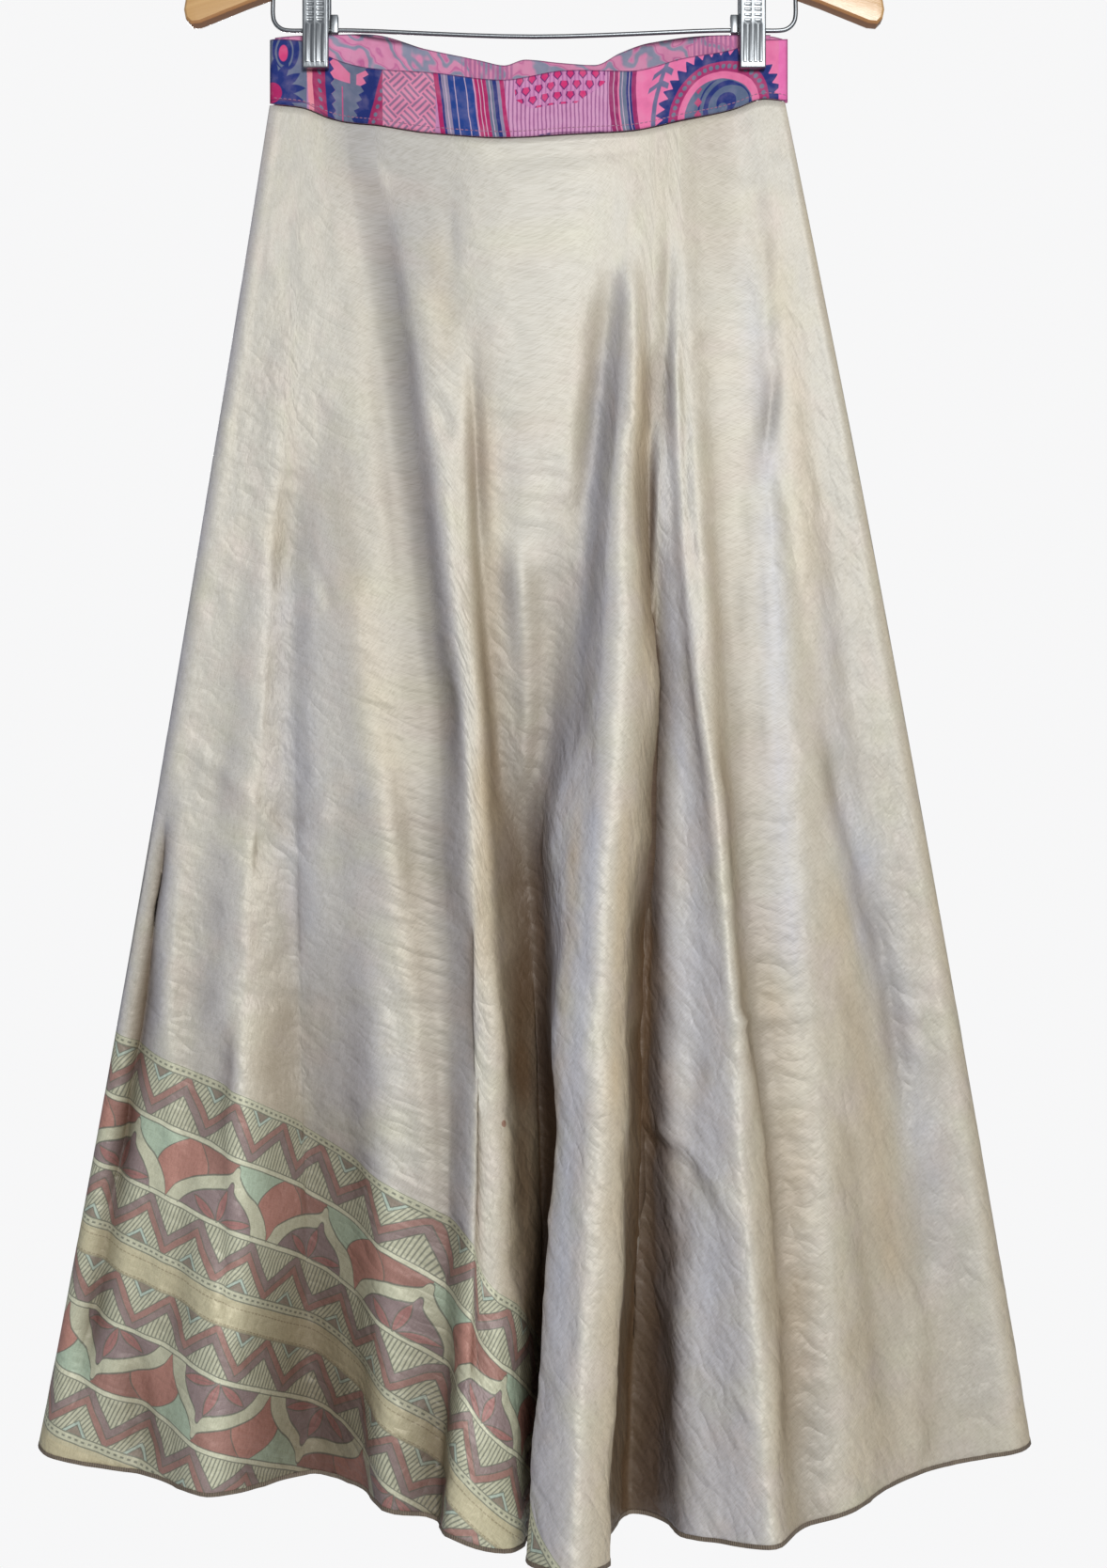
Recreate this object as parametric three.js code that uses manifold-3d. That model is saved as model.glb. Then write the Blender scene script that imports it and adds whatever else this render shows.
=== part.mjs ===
// A sari-silk wrap skirt on a wooden hanger with two steel clips.
//
// Units are millimetres. +Z is up, +X is the viewer's right, and the front of the skirt faces -Y.
// The origin is the point inside the top of the hook where the hanger rests on a rail.
//
// The skirt is one flared cloth wrapped round: a front panel, an under panel that goes from the
// left side across the back, and an over panel that goes from the right side across the back,
// outside the under panel. A deep waistband holds each panel's top, and two ties hang at the back.
import * as THREE from "three";
import { mergeVertices } from "three/addons/utils/BufferGeometryUtils.js";
import Module from "manifold-3d";

const wasm = await Module();
wasm.setup();

// ---------------------------------------------------------------- driving dimensions
const SKIRT_LENGTH = 885; // waistband seam to hem, along the cloth
const CLOTH = 1.4; // wall of a panel
const BAND = 2.0; // wall of the waistband, a folded strip
const SEAM = 0.4; // gap between pieces that are sewn together
const WAIST_GAP = 1.0; // waistband to panel, wider because their facets differ
const OPENING = 3.5; // how far the front and the back each stand off just under the waistband
const OPENING_DONE = 0.15; // share of the length over which they part
const SOFT_START = 0.15; // how softly a fold leaves the flat
const KNEE = 0.45; // share of the length at which the fold tables give the knee
const LAYER_GAP = 2.5; // under panel to over panel at the waist, centre to centre
const LAYER_SPREAD = 6; // how much further apart they hang at the hem
const PANEL_ROWS = 18; // facets from waist to hem
const COLUMN_PITCH = 17; // facet width at the hem
const BAND_ROWS = 3; // points down the waistband
const BAND_PITCH = 9; // facet width of the waistband
const BAND_TURN = 3; // the last few millimetres, where the waistband turns round
const UNDER_BAND_END = 152; // free end of the under band, past the right clip
const OVER_BAND_END = -152; // free end of the over band, past the left clip

const TIE_WIDTH = 20;
const TIE_WALL = 1.2;
const TIE_STAND_OFF = 2.6; // centre of the tie above the panel's middle

const HANGER_WIDTH = 445;
const HANGER_THICKNESS = 12;
const TIP_BOTTOM_Z = -166; // underside of the arms at their tips
const ARM_RISE = 60; // underside at the middle, above the tips
const ARM_BOW = 1.6; // 1 would make the underside straight, 2 a parabola
const ARM_HEIGHT_TIP = 26;
const ARM_HEIGHT_MIDDLE = 38;
const ARM_FACETS = 14;
const ARM_BEVEL = 1.5;
const TIP_ROUND = 8; // how far in from its end an arm begins to round off
const TIP_BULGE = 5.5; // how far the rounding's handles reach past the end
const TIP_DROOP = 6;
const HOOK_WIRE = 3.6;
const HOOK_INNER_RADIUS = 20;
const HOOK_START = -55; // degrees round the ring, from the shank to the free end
const HOOK_END = 205;
const HOOK_STEP = 20;
const SHANK_TOP = -54;
const SHANK_BEND = [1.5, -48]; // x and z where the shank swings into the ring
const BAR_WIRE = 2.8;
const BAR_X = 168.3; // where the bar's uprights enter the arms
const BAR_Z = -165.4;
const BAR_Y = 0.9;
const BAR_CORNER = 10;
const BAR_SAG = 4; // how far the bar dips in its middle
const BAR_LEVEL_X = 118; // where it begins to dip, inside the clips
const FIT = 0.3; // clearance round a wire in its hole
const SOCKET_DEPTH = 9;
const SHORT_OF_SOCKET = 1; // the wires stop this far short of the floor of their holes

const CLIP_X = 140;
const CLIP_WIDTH = 16.5;
const CLIP_LENGTH = 51.8;
const CLIP_BOTTOM_Z = -192.5;
const CLIP_DEPTH = 6; // depth of the pressed channel of one jaw
const CLIP_SHEET = 1.2;
const GRIP_FRONT = -2.9; // where the two jaws meet the cloth
const GRIP_BACK = 4.8;
const RIBS = 4;
const RIB_WIDTH = 2;
const RIB_RISE = 0.7;
const RIB_MARGIN = 1.5;
const FOOT_INSET = 0.2;
const LIP_DEPTH = 2;
const LIP_HEIGHT = 4;
const TONGUE_WIDTH = 5;
const TONGUE_DEPTH = 4.6;
const TONGUE_HEIGHT = 12;
const TONGUE_BELOW_BAR = 2.4;
const TONGUE_OFFSET = 3; // from the jaw's side to the middle of the tongue

// ---------------------------------------------------------------- colours
const silk = new THREE.MeshStandardMaterial({ color: 0xcfc5b0, roughness: 0.45 });
const bandCloth = new THREE.MeshStandardMaterial({ color: 0xd274a8, roughness: 0.6 });
const wood = new THREE.MeshStandardMaterial({ color: 0xb98a4e, roughness: 0.5 });
const steel = new THREE.MeshStandardMaterial({ color: 0xc9cdd0, roughness: 0.3, metalness: 1 });

// ---------------------------------------------------------------- tables
// Rows of numbers under named columns become objects.
function table(columns, rows) {
  return rows.map((row) => Object.fromEntries(columns.map((name, i) => [name, row[i]])));
}

// The front waistband from left to right: how far it stands forward, and its two edges.
const FRONT_BAND = table(
  ["x", "y", "top", "bottom"],
  [
    [-170, 0.2, -172, -213],
    [-167, -1.4, -172, -213.5],
    [-150, -1.6, -173, -215.5],
    [-130, -1.6, -184, -223],
    [-97, -13, -195.5, -231],
    [-66, -19, -199.5, -237.5],
    [-20, -24, -206, -242],
    [20, -24, -200, -240],
    [60, -20, -199, -236.5],
    [95, -12, -188, -227],
    [130, -1.6, -178, -216],
    [148, -1.6, -172.5, -210],
    [160, -1.2, -172, -211],
    [163, 1.3, -171, -212],
  ],
);

// The back waistband from left to right. The under band lies here, and the over band outside it.
const BACK_BAND = table(
  ["x", "y", "top", "bottom"],
  [
    [-170, 0.2, -172, -213],
    [-167, 1.8, -170, -212],
    [-152, 0.9, -169, -210.5],
    [-130, 0.9, -168.5, -209.5],
    [-104, 10, -165, -207],
    [-70, 17, -172, -213],
    [-36, 20, -178, -219],
    [-20, 21, -181, -221],
    [-6, 21.5, -177, -220],
    [15, 21.5, -179, -220.5],
    [40, 20, -181, -220.5],
    [56, 18, -174, -215],
    [75, 15, -168.5, -210.5],
    [104, 9, -166.5, -207],
    [130, 0.9, -168.5, -209],
    [152, 0.9, -168.5, -209.5],
    [160, 1.3, -170, -211],
    [163, 1.3, -171, -212],
  ],
);

// Fold lines of the front from the left side to the right side. x is given at the waistband, at
// the knee and at the hem. depth is the line's y at the hem, and start is how far down the cloth,
// as a share of its length, the line begins to leave the flat.
const FOLD_COLUMNS = ["name", "waist", "knee", "hem", "depth", "start"];
const FRONT_FOLDS = table(FOLD_COLUMNS, [
  ["left_turn", -166, -229, -315, 15, 0.25],
  ["left_edge", -161, -214, -284, 9, 0.2],
  ["left_plain", -156, -197, -246, 4, 0.2],
  ["left_ridge", -152, -174, -206, -24, 0.15],
  ["left_hollow", -147, -152, -144, 27, 0.3],
  ["left_flank", -142, -130, -110, 2, 0.15],
  ["first_edge", -135, -105, -91, -34, 0.12],
  ["first_front", -120, -81, -68, -31, 0.1],
  ["first_valley", -104, -62, -60, -29, 0.08],
  ["second_edge", -97, -44, -50, -62, 0.03],
  ["second_ridge", -56, -36, -14, -56, 0.12],
  ["valley_left", -38, -19, 1, -10, 0.25],
  ["valley_floor", -4, -4, 14, 22, 0.3],
  ["valley_right", 36, 11, 30, 2, 0.25],
  ["fold_neck", 54, 22, 20, -46, 0.12],
  ["fold_left", 60, 31, -4, -82, 0.1],
  ["fold_crest", 65, 42, 24, -114, 0.1],
  ["fold_right", 71, 52, 43, -98, 0.1],
  ["fold_return", 76, 61, 46, -44, 0.12],
  ["brown_valley", 80, 70, 60, -2, 0.1],
  ["lilac_foot", 84, 79, 79, -14, 0.1],
  ["lilac_flank", 87, 88, 92, -50, 0.1],
  ["lilac_front", 90, 99, 114, -68, 0.1],
  ["crisp_ridge", 93, 112, 145, -88, 0.1],
  ["beside_ridge", 107, 124, 165, -60, 0.1],
  ["broad_front", 126, 160, 191, -56, 0.1],
  ["right_ridge", 141, 187, 224, -23, 0.08],
  ["right_hollow", 148, 203, 258, 0, 0.2],
  ["right_plain", 154, 221, 294, 8, 0.25],
  ["right_turn", 158.5, 232, 316, 11, 0.25],
]);

const [LEFT_SIDE, RIGHT_SIDE] = table(FOLD_COLUMNS, [
  ["left_side", -170, -235, -326, 31, 0.25],
  ["right_side", 161, 238, 325, 26, 0.25],
]);

// Fold lines of the back from left to right, shared by the under and the over panel.
const BACK_FOLDS = table(FOLD_COLUMNS, [
  ["back_left_turn", -163, -226, -310, 58, 0.12],
  ["back_ridge_1", -142, -190, -262, 96, 0.1],
  ["back_valley_1", -118, -150, -205, 62, 0.1],
  ["back_ridge_2", -84, -104, -140, 104, 0.06],
  ["back_valley_2", -52, -62, -82, 64, 0.12],
  ["back_ridge_3", -14, -16, -20, 100, 0.16],
  ["back_valley_3", 26, 32, 44, 66, 0.14],
  ["back_ridge_4", 58, 72, 100, 106, 0.08],
  ["back_valley_4", 92, 118, 162, 63, 0.1],
  ["back_ridge_5", 124, 166, 226, 94, 0.06],
  ["back_valley_5", 143, 200, 278, 66, 0.12],
  ["back_right_turn", 157, 228, 312, 48, 0.15],
]);

// ---------------------------------------------------------------- curves
// Slope of a table's curve at row i, level wherever the rows turn back, so that nothing overshoots.
function slopeAt(rows, i, key) {
  if (i === 0 || i === rows.length - 1) return 0;
  const [before, here, after] = [rows[i - 1], rows[i], rows[i + 1]];
  const rising = (here[key] - before[key]) / (here.x - before.x);
  const leaving = (after[key] - here[key]) / (after.x - here.x);
  return rising * leaving <= 0 ? 0 : (2 * rising * leaving) / (rising + leaving);
}

// A smooth curve through a table's rows, read at x.
function smoothAt(rows, x, key) {
  let i = rows.findIndex((row) => row.x >= x);
  i = i < 0 ? rows.length - 1 : Math.max(1, i);
  const [a, b] = [rows[i - 1], rows[i]];
  const width = b.x - a.x;
  const f = Math.min(1, Math.max(0, (x - a.x) / width));
  const slopeA = slopeAt(rows, i - 1, key) * width;
  const slopeB = slopeAt(rows, i, key) * width;
  const [f2, f3] = [f * f, f * f * f];
  return (
    a[key] * (2 * f3 - 3 * f2 + 1) + slopeA * (f3 - 2 * f2 + f) +
    b[key] * (3 * f2 - 2 * f3) + slopeB * (f3 - f2)
  );
}

// 0 until start, then a soft take-off into a straight rise that reaches 1 at v = 1.
function growth(v, start) {
  const rise = Math.max(0, (v - start) / (1 - start));
  return ((rise * rise) / (rise + SOFT_START)) * (1 + SOFT_START);
}

// x of a fold line at v: a parabola through its waist, knee and hem.
function foldX(fold, v) {
  const bend =
    (fold.knee - fold.waist - (fold.hem - fold.waist) * KNEE) / (KNEE * (KNEE - 1));
  return fold.waist + (fold.hem - fold.waist) * v + bend * v * (v - 1);
}

// A fold line seen from above at v. side is -1 on the front, 1 on the back and 0 on the side
// lines. layer is 0 on the front and the under panel, and 1 on the over panel.
function foldPoint(fold, v) {
  const waistY = smoothAt(fold.band, fold.waist, "y") + fold.layer * LAYER_GAP;
  const fade = (1 - v) ** 2;
  const opening = fold.side * OPENING * Math.min(1, v / OPENING_DONE);
  const spread = fold.layer * (LAYER_GAP + LAYER_SPREAD * v) * (1 - fade);
  const y = waistY * fade + opening + spread + fold.depth * growth(v, fold.start);
  return new THREE.Vector3(foldX(fold, v), y, 0);
}

// ---------------------------------------------------------------- the wrap
// All fold lines in the order in which the cloth runs: under panel from its free edge to the left
// side, front, and over panel from the right side to its free edge.
const UNDER_LINES = BACK_FOLDS.slice(0, -1).reverse();
const OVER_LINES = BACK_FOLDS.slice(1).reverse();
const OVER_TURN = { ...BACK_FOLDS.at(-1), layer: 0.6 };
const WRAP = [
  ...UNDER_LINES.map((fold) => ({ ...fold, band: BACK_BAND, side: 1, layer: 0 })),
  { ...LEFT_SIDE, band: FRONT_BAND, side: 0, layer: 0 },
  ...FRONT_FOLDS.map((fold) => ({ ...fold, band: FRONT_BAND, side: -1, layer: 0 })),
  { ...RIGHT_SIDE, band: FRONT_BAND, side: 0, layer: 0 },
  { ...OVER_TURN, band: BACK_BAND, side: 1 },
  ...OVER_LINES.slice(1).map((fold) => ({ ...fold, band: BACK_BAND, side: 1, layer: 1 })),
];
const LEFT_SEAM = WRAP.findIndex((fold) => fold.name === "left_side");
const RIGHT_SEAM = WRAP.findIndex((fold) => fold.name === "right_side");

// Where along the wrap the columns of facets stand, as fold number plus a fraction.
function columnPlaces() {
  const places = [];
  for (let i = 0; i < WRAP.length - 1; i++) {
    const width = foldPoint(WRAP[i], 1).distanceTo(foldPoint(WRAP[i + 1], 1));
    const steps = Math.max(1, Math.round(width / COLUMN_PITCH));
    for (let j = 0; j < steps; j++) places.push(i + j / steps);
  }
  places.push(WRAP.length - 1);
  return places;
}

// Height of the band's lower edge over a place on the wrap.
function waistZ(place, x) {
  const band = place <= LEFT_SEAM || place >= RIGHT_SEAM ? BACK_BAND : FRONT_BAND;
  return smoothAt(band, x, "bottom");
}

// The cloth's middle surface as columns of points. Each column has the cloth's real length, so
// the hem rises where the cloth runs out sideways or forwards.
function clothColumns(places) {
  const sections = [];
  for (let r = 0; r <= PANEL_ROWS; r++) {
    const points = WRAP.map((fold) => foldPoint(fold, r / PANEL_ROWS));
    sections.push(new THREE.CatmullRomCurve3(points, false, "centripetal"));
  }
  const step = SKIRT_LENGTH / PANEL_ROWS;
  return places.map((place) => {
    const column = sections.map((curve) => curve.getPoint(place / (WRAP.length - 1)));
    column[0].z = waistZ(place, column[0].x) - WAIST_GAP;
    for (let r = 1; r <= PANEL_ROWS; r++) {
      const across = Math.hypot(column[r].x - column[r - 1].x, column[r].y - column[r - 1].y);
      column[r].z = column[r - 1].z - Math.sqrt(step * step - across * across);
    }
    return column;
  });
}

// Outward normals of a grid of columns, from its neighbours each way.
function gridNormals(columns) {
  const rows = columns[0].length;
  return columns.map((column, c) =>
    column.map((_, r) => {
      const left = columns[Math.max(0, c - 1)][r];
      const right = columns[Math.min(columns.length - 1, c + 1)][r];
      const above = column[Math.max(0, r - 1)];
      const below = column[Math.min(rows - 1, r + 1)];
      const across = new THREE.Vector3().subVectors(right, left);
      const down = new THREE.Vector3().subVectors(below, above);
      return new THREE.Vector3().crossVectors(down, across).normalize();
    }),
  );
}

// A closed wall round the columns first to last. An end on a seam stops half a gap short of it.
function wall(columns, normals, first, last, thickness, seams = []) {
  const rows = columns[0].length;
  const count = last - first + 1;
  const positions = [];
  for (const side of [0.5, -0.5]) {
    for (let c = first; c <= last; c++) {
      const inward = c === first ? c + 1 : c - 1;
      const trimmed = seams.includes(c) && (c === first || c === last);
      for (let r = 0; r < rows; r++) {
        const point = columns[c][r].clone().addScaledVector(normals[c][r], side * thickness);
        if (trimmed) {
          const along = new THREE.Vector3().subVectors(columns[inward][r], columns[c][r]);
          along.addScaledVector(normals[c][r], -along.dot(normals[c][r]));
          point.addScaledVector(along.normalize(), SEAM / 2);
        }
        positions.push(point.x, point.y, point.z);
      }
    }
  }
  const outer = (c, r) => c * rows + r;
  const inner = (c, r) => count * rows + c * rows + r;
  const faces = [];
  const quad = (a, b, c, d) => faces.push(a, b, c, a, c, d);
  for (let c = 0; c < count - 1; c++) {
    for (let r = 0; r < rows - 1; r++) {
      quad(outer(c, r), outer(c, r + 1), outer(c + 1, r + 1), outer(c + 1, r));
      quad(inner(c, r), inner(c + 1, r), inner(c + 1, r + 1), inner(c, r + 1));
    }
    quad(outer(c, 0), outer(c + 1, 0), inner(c + 1, 0), inner(c, 0));
    quad(outer(c, rows - 1), inner(c, rows - 1), inner(c + 1, rows - 1), outer(c + 1, rows - 1));
  }
  for (let r = 0; r < rows - 1; r++) {
    quad(outer(0, r), inner(0, r), inner(0, r + 1), outer(0, r + 1));
    quad(outer(count - 1, r), outer(count - 1, r + 1), inner(count - 1, r + 1), inner(count - 1, r));
  }
  const geometry = new THREE.BufferGeometry();
  geometry.setAttribute("position", new THREE.Float32BufferAttribute(positions, 3));
  geometry.setIndex(faces);
  return geometry;
}

// ---------------------------------------------------------------- the waistband
// Evenly spaced x values between two ends.
function bandPlaces(from, to) {
  const steps = Math.max(2, Math.round(Math.abs(to - from) / BAND_PITCH));
  return Array.from({ length: steps + 1 }, (_, i) => from + ((to - from) * i) / steps);
}

function bandColumn(rows, x, layer) {
  const y = smoothAt(rows, x, "y") + layer * LAYER_GAP;
  const [top, bottom] = [smoothAt(rows, x, "top"), smoothAt(rows, x, "bottom")];
  return Array.from({ length: BAND_ROWS }, (_, r) => {
    return new THREE.Vector3(x, y, top + ((bottom - top) * r) / (BAND_ROWS - 1));
  });
}

function bandColumns() {
  const [left, right] = [FRONT_BAND[0].x, FRONT_BAND.at(-1).x];
  const under = bandPlaces(UNDER_BAND_END, left + BAND_TURN);
  const front = [left, ...bandPlaces(left + BAND_TURN, right - BAND_TURN), right];
  const over = bandPlaces(right - BAND_TURN, OVER_BAND_END);
  const columns = [
    ...under.map((x) => bandColumn(BACK_BAND, x, 0)),
    ...front.map((x) => bandColumn(FRONT_BAND, x, 0)),
    ...over.map((x) => bandColumn(BACK_BAND, x, 1)),
  ];
  return { columns, leftSeam: under.length, rightSeam: under.length + front.length - 1 };
}

// ---------------------------------------------------------------- ties
// A tie hangs from the back of the waistband and lies on the over panel's outside. top is its
// upper end, on the waistband.
const TIES = table(
  ["name", "place", "top", "length"],
  [
    ["left_tie", "back_ridge_2", -186, 500],
    ["right_tie", "back_ridge_4", -184, 430],
  ],
);

// The tie's columns are the over panel's own points beside one fold line, moved out.
function tieColumns(tie, places, columns, normals) {
  const line = WRAP.findIndex((fold) => fold.name === tie.place && fold.layer === 1);
  const centre = places.findIndex((place) => place >= line);
  const spine = columns[centre];
  const rows = Math.round((tie.length / SKIRT_LENGTH) * PANEL_ROWS);
  const x = spine[0].x;
  const bandY = smoothAt(BACK_BAND, x, "y") + LAYER_GAP + TIE_STAND_OFF;
  const path = [new THREE.Vector3(x, bandY, tie.top)];
  for (let r = 0; r <= rows; r++) {
    path.push(spine[r].clone().addScaledVector(normals[centre][r], TIE_STAND_OFF));
  }
  return [0.5, 0, -0.5].map((side) =>
    path.map((point, i) => {
      const r = Math.max(0, i - 1);
      const across = new THREE.Vector3().subVectors(columns[centre + 1][r], columns[centre - 1][r]);
      across.z = 0;
      return point.clone().addScaledVector(across.normalize(), -side * TIE_WIDTH);
    }),
  );
}

// ---------------------------------------------------------------- solids
const toManifold = (geometry) => {
  const bare = geometry.clone();
  bare.deleteAttribute("normal");
  bare.deleteAttribute("uv");
  const merged = mergeVertices(bare, 1e-3);
  return new wasm.Manifold(
    new wasm.Mesh({
      numProp: 3,
      vertProperties: merged.attributes.position.array,
      triVerts: new Uint32Array(merged.index.array),
    }),
  );
};

const toGeometry = (solid) => {
  const mesh = solid.getMesh();
  const geometry = new THREE.BufferGeometry();
  geometry.setAttribute("position", new THREE.Float32BufferAttribute(mesh.vertProperties, 3));
  geometry.setIndex(Array.from(mesh.triVerts));
  return geometry;
};

function boxAt(width, depth, height, x, y, z) {
  return new THREE.BoxGeometry(width, depth, height).translate(x, y, z);
}

// A wire along a flat path.
function wire(points, radius, steps) {
  const section = new THREE.Shape().absarc(0, 0, radius, 0, Math.PI * 2, false);
  const extrudePath = new THREE.CatmullRomCurve3(points, false, "centripetal");
  return new THREE.ExtrudeGeometry(section, { steps, curveSegments: 5, bevelEnabled: false, extrudePath });
}

// ---------------------------------------------------------------- the hanger
function armUnderside(x) {
  return TIP_BOTTOM_Z + ARM_RISE * (1 - (Math.abs(x) / (HANGER_WIDTH / 2)) ** ARM_BOW);
}

function armTop(x) {
  const share = Math.abs(x) / (HANGER_WIDTH / 2);
  return armUnderside(x) + ARM_HEIGHT_MIDDLE + (ARM_HEIGHT_TIP - ARM_HEIGHT_MIDDLE) * share;
}

// The arms are one board, bowed from tip to tip, with a hole for the hook and two for the bar.
function hangerArms() {
  const reach = HANGER_WIDTH / 2 - TIP_ROUND;
  const bulge = HANGER_WIDTH / 2 + TIP_BULGE;
  const [low, high] = [armUnderside(reach), armTop(reach)];
  const places = Array.from({ length: ARM_FACETS + 1 }, (_, i) => reach * ((2 * i) / ARM_FACETS - 1));
  const shape = new THREE.Shape(places.map((x) => new THREE.Vector2(x, armUnderside(x))));
  shape.bezierCurveTo(bulge, low - TIP_DROOP, bulge, high - TIP_DROOP, reach, high);
  for (const x of places.slice(1, -1).reverse()) shape.lineTo(x, armTop(x));
  shape.lineTo(-reach, high);
  shape.bezierCurveTo(-bulge, high - TIP_DROOP, -bulge, low - TIP_DROOP, -reach, low);
  const board = new THREE.ExtrudeGeometry(shape, {
    depth: HANGER_THICKNESS - 2 * ARM_BEVEL,
    bevelSize: ARM_BEVEL,
    bevelThickness: ARM_BEVEL,
    bevelOffset: -ARM_BEVEL,
    bevelSegments: 1,
    curveSegments: 6,
  });
  board.translate(0, 0, ARM_BEVEL - HANGER_THICKNESS / 2).rotateX(Math.PI / 2);
  let solid = toManifold(board);
  const drill = (wireSize, x, y, z) => {
    const radius = wireSize / 2 + FIT;
    const hole = new THREE.CylinderGeometry(radius, radius, SOCKET_DEPTH * 2, 16);
    solid = solid.subtract(toManifold(hole.rotateX(Math.PI / 2).translate(x, y, z)));
  };
  drill(HOOK_WIRE, 0, 0, armTop(0));
  for (const side of [-1, 1]) drill(BAR_WIRE, side * BAR_X, BAR_Y, armUnderside(BAR_X));
  return toGeometry(solid);
}

// The hook is one wire: a shank out of the board, then three quarters of a ring.
function hangerHook() {
  const ring = HOOK_INNER_RADIUS + HOOK_WIRE / 2;
  const foot = armTop(0) - SOCKET_DEPTH + SHORT_OF_SOCKET;
  const shank = [foot, (foot + SHANK_TOP) / 2, SHANK_TOP].map((z) => new THREE.Vector3(0, 0, z));
  shank.push(new THREE.Vector3(SHANK_BEND[0], 0, SHANK_BEND[1]));
  const round = [];
  for (let degrees = HOOK_START; degrees <= HOOK_END; degrees += HOOK_STEP) {
    const angle = THREE.MathUtils.degToRad(degrees);
    round.push(new THREE.Vector3(ring * Math.cos(angle), 0, ring * Math.sin(angle) - HOOK_INNER_RADIUS));
  }
  return wire([...shank, ...round], HOOK_WIRE / 2, 34);
}

// The bar is one wire bent into a wide U, pushed up into the arms.
function hangerBar() {
  const top = armUnderside(BAR_X) + SOCKET_DEPTH - SHORT_OF_SOCKET;
  const point = (x, z) => new THREE.Vector3(x, BAR_Y, z);
  const points = [point(-BAR_X, top), point(-BAR_X, (top + BAR_Z + BAR_CORNER) / 2)];
  for (let degrees = 180; degrees <= 270; degrees += 22.5) {
    const angle = THREE.MathUtils.degToRad(degrees);
    const x = -BAR_X + BAR_CORNER + BAR_CORNER * Math.cos(angle);
    points.push(point(x, BAR_Z + BAR_CORNER + BAR_CORNER * Math.sin(angle)));
  }
  points.push(point(-CLIP_X, BAR_Z), point(-BAR_LEVEL_X, BAR_Z), point(0, BAR_Z - BAR_SAG));
  const mirrored = points.slice(0, -1).reverse().map((p) => point(-p.x, p.z));
  return wire([...points, ...mirrored], BAR_WIRE / 2, 56);
}

// One jaw: a pressed channel with ribs down its face, a closed foot and a gripping lip. facing is
// -1 for the front jaw and 1 for the back one.
function clipJaw(x, facing, gripY) {
  const half = CLIP_WIDTH / 2;
  const pitch = (CLIP_WIDTH - 2 * RIB_MARGIN) / RIBS;
  const outline = [[-half, 0], [-half, CLIP_DEPTH]];
  for (let i = 0; i < RIBS; i++) {
    const centre = (i - (RIBS - 1) / 2) * pitch;
    outline.push([centre - RIB_WIDTH / 2, CLIP_DEPTH], [centre - RIB_WIDTH / 4, CLIP_DEPTH + RIB_RISE]);
    outline.push([centre + RIB_WIDTH / 4, CLIP_DEPTH + RIB_RISE], [centre + RIB_WIDTH / 2, CLIP_DEPTH]);
  }
  const inside = half - CLIP_SHEET;
  outline.push([half, CLIP_DEPTH], [half, 0], [inside, 0], [inside, CLIP_DEPTH - CLIP_SHEET]);
  outline.push([-inside, CLIP_DEPTH - CLIP_SHEET], [-inside, 0]);
  const profile = new THREE.Shape(outline.map(([u, v]) => new THREE.Vector2(u, v)));
  const channel = new THREE.ExtrudeGeometry(profile, { depth: CLIP_LENGTH, bevelEnabled: false });
  const width = CLIP_WIDTH - 2 * FOOT_INSET;
  const depth = CLIP_DEPTH - 2 * FOOT_INSET;
  const foot = boxAt(width, depth, CLIP_SHEET, 0, CLIP_DEPTH - FOOT_INSET - depth / 2, CLIP_SHEET / 2);
  const lip = boxAt(width, LIP_DEPTH, LIP_HEIGHT, 0, LIP_DEPTH / 2, FOOT_INSET + LIP_HEIGHT / 2);
  const jaw = toGeometry(toManifold(channel).add(toManifold(foot)).add(toManifold(lip)));
  if (facing < 0) jaw.rotateZ(Math.PI);
  return jaw.translate(x, gripY, CLIP_BOTTOM_Z);
}

// The spring tongue between the jaws hangs on the bar and shows beside the front jaw.
function clipTongue(clipX, side) {
  const x = clipX + side * (CLIP_WIDTH / 2 + TONGUE_OFFSET);
  const z = BAR_Z - TONGUE_BELOW_BAR + TONGUE_HEIGHT / 2;
  const plate = boxAt(TONGUE_WIDTH, TONGUE_DEPTH, TONGUE_HEIGHT, x, BAR_Y, z);
  const clear = BAR_WIRE / 2 + FIT;
  const hole = new THREE.CylinderGeometry(clear, clear, TONGUE_WIDTH * 2, 12);
  hole.rotateZ(Math.PI / 2).translate(x, BAR_Y, BAR_Z);
  return toGeometry(toManifold(plate).subtract(toManifold(hole)));
}

// ---------------------------------------------------------------- assembly
const group = new THREE.Group();

function add(name, geometry, material) {
  const mesh = new THREE.Mesh(geometry, material);
  mesh.name = name;
  group.add(mesh);
}

const places = columnPlaces();
const cloth = clothColumns(places);
const clothNormals = gridNormals(cloth);
const leftColumn = places.indexOf(LEFT_SEAM);
const rightColumn = places.indexOf(RIGHT_SEAM);
const clothSeams = [leftColumn, rightColumn];
add("under_panel", wall(cloth, clothNormals, 0, leftColumn, CLOTH, clothSeams), silk);
add("front_panel", wall(cloth, clothNormals, leftColumn, rightColumn, CLOTH, clothSeams), silk);
add("over_panel", wall(cloth, clothNormals, rightColumn, cloth.length - 1, CLOTH, clothSeams), silk);

const band = bandColumns();
const bandNormals = gridNormals(band.columns);
const bandSeams = [band.leftSeam, band.rightSeam];
const bandEnd = band.columns.length - 1;
add("under_waistband", wall(band.columns, bandNormals, 0, band.leftSeam, BAND, bandSeams), bandCloth);
add("front_waistband", wall(band.columns, bandNormals, ...bandSeams, BAND, bandSeams), bandCloth);
add("over_waistband", wall(band.columns, bandNormals, band.rightSeam, bandEnd, BAND, bandSeams), bandCloth);

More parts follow.
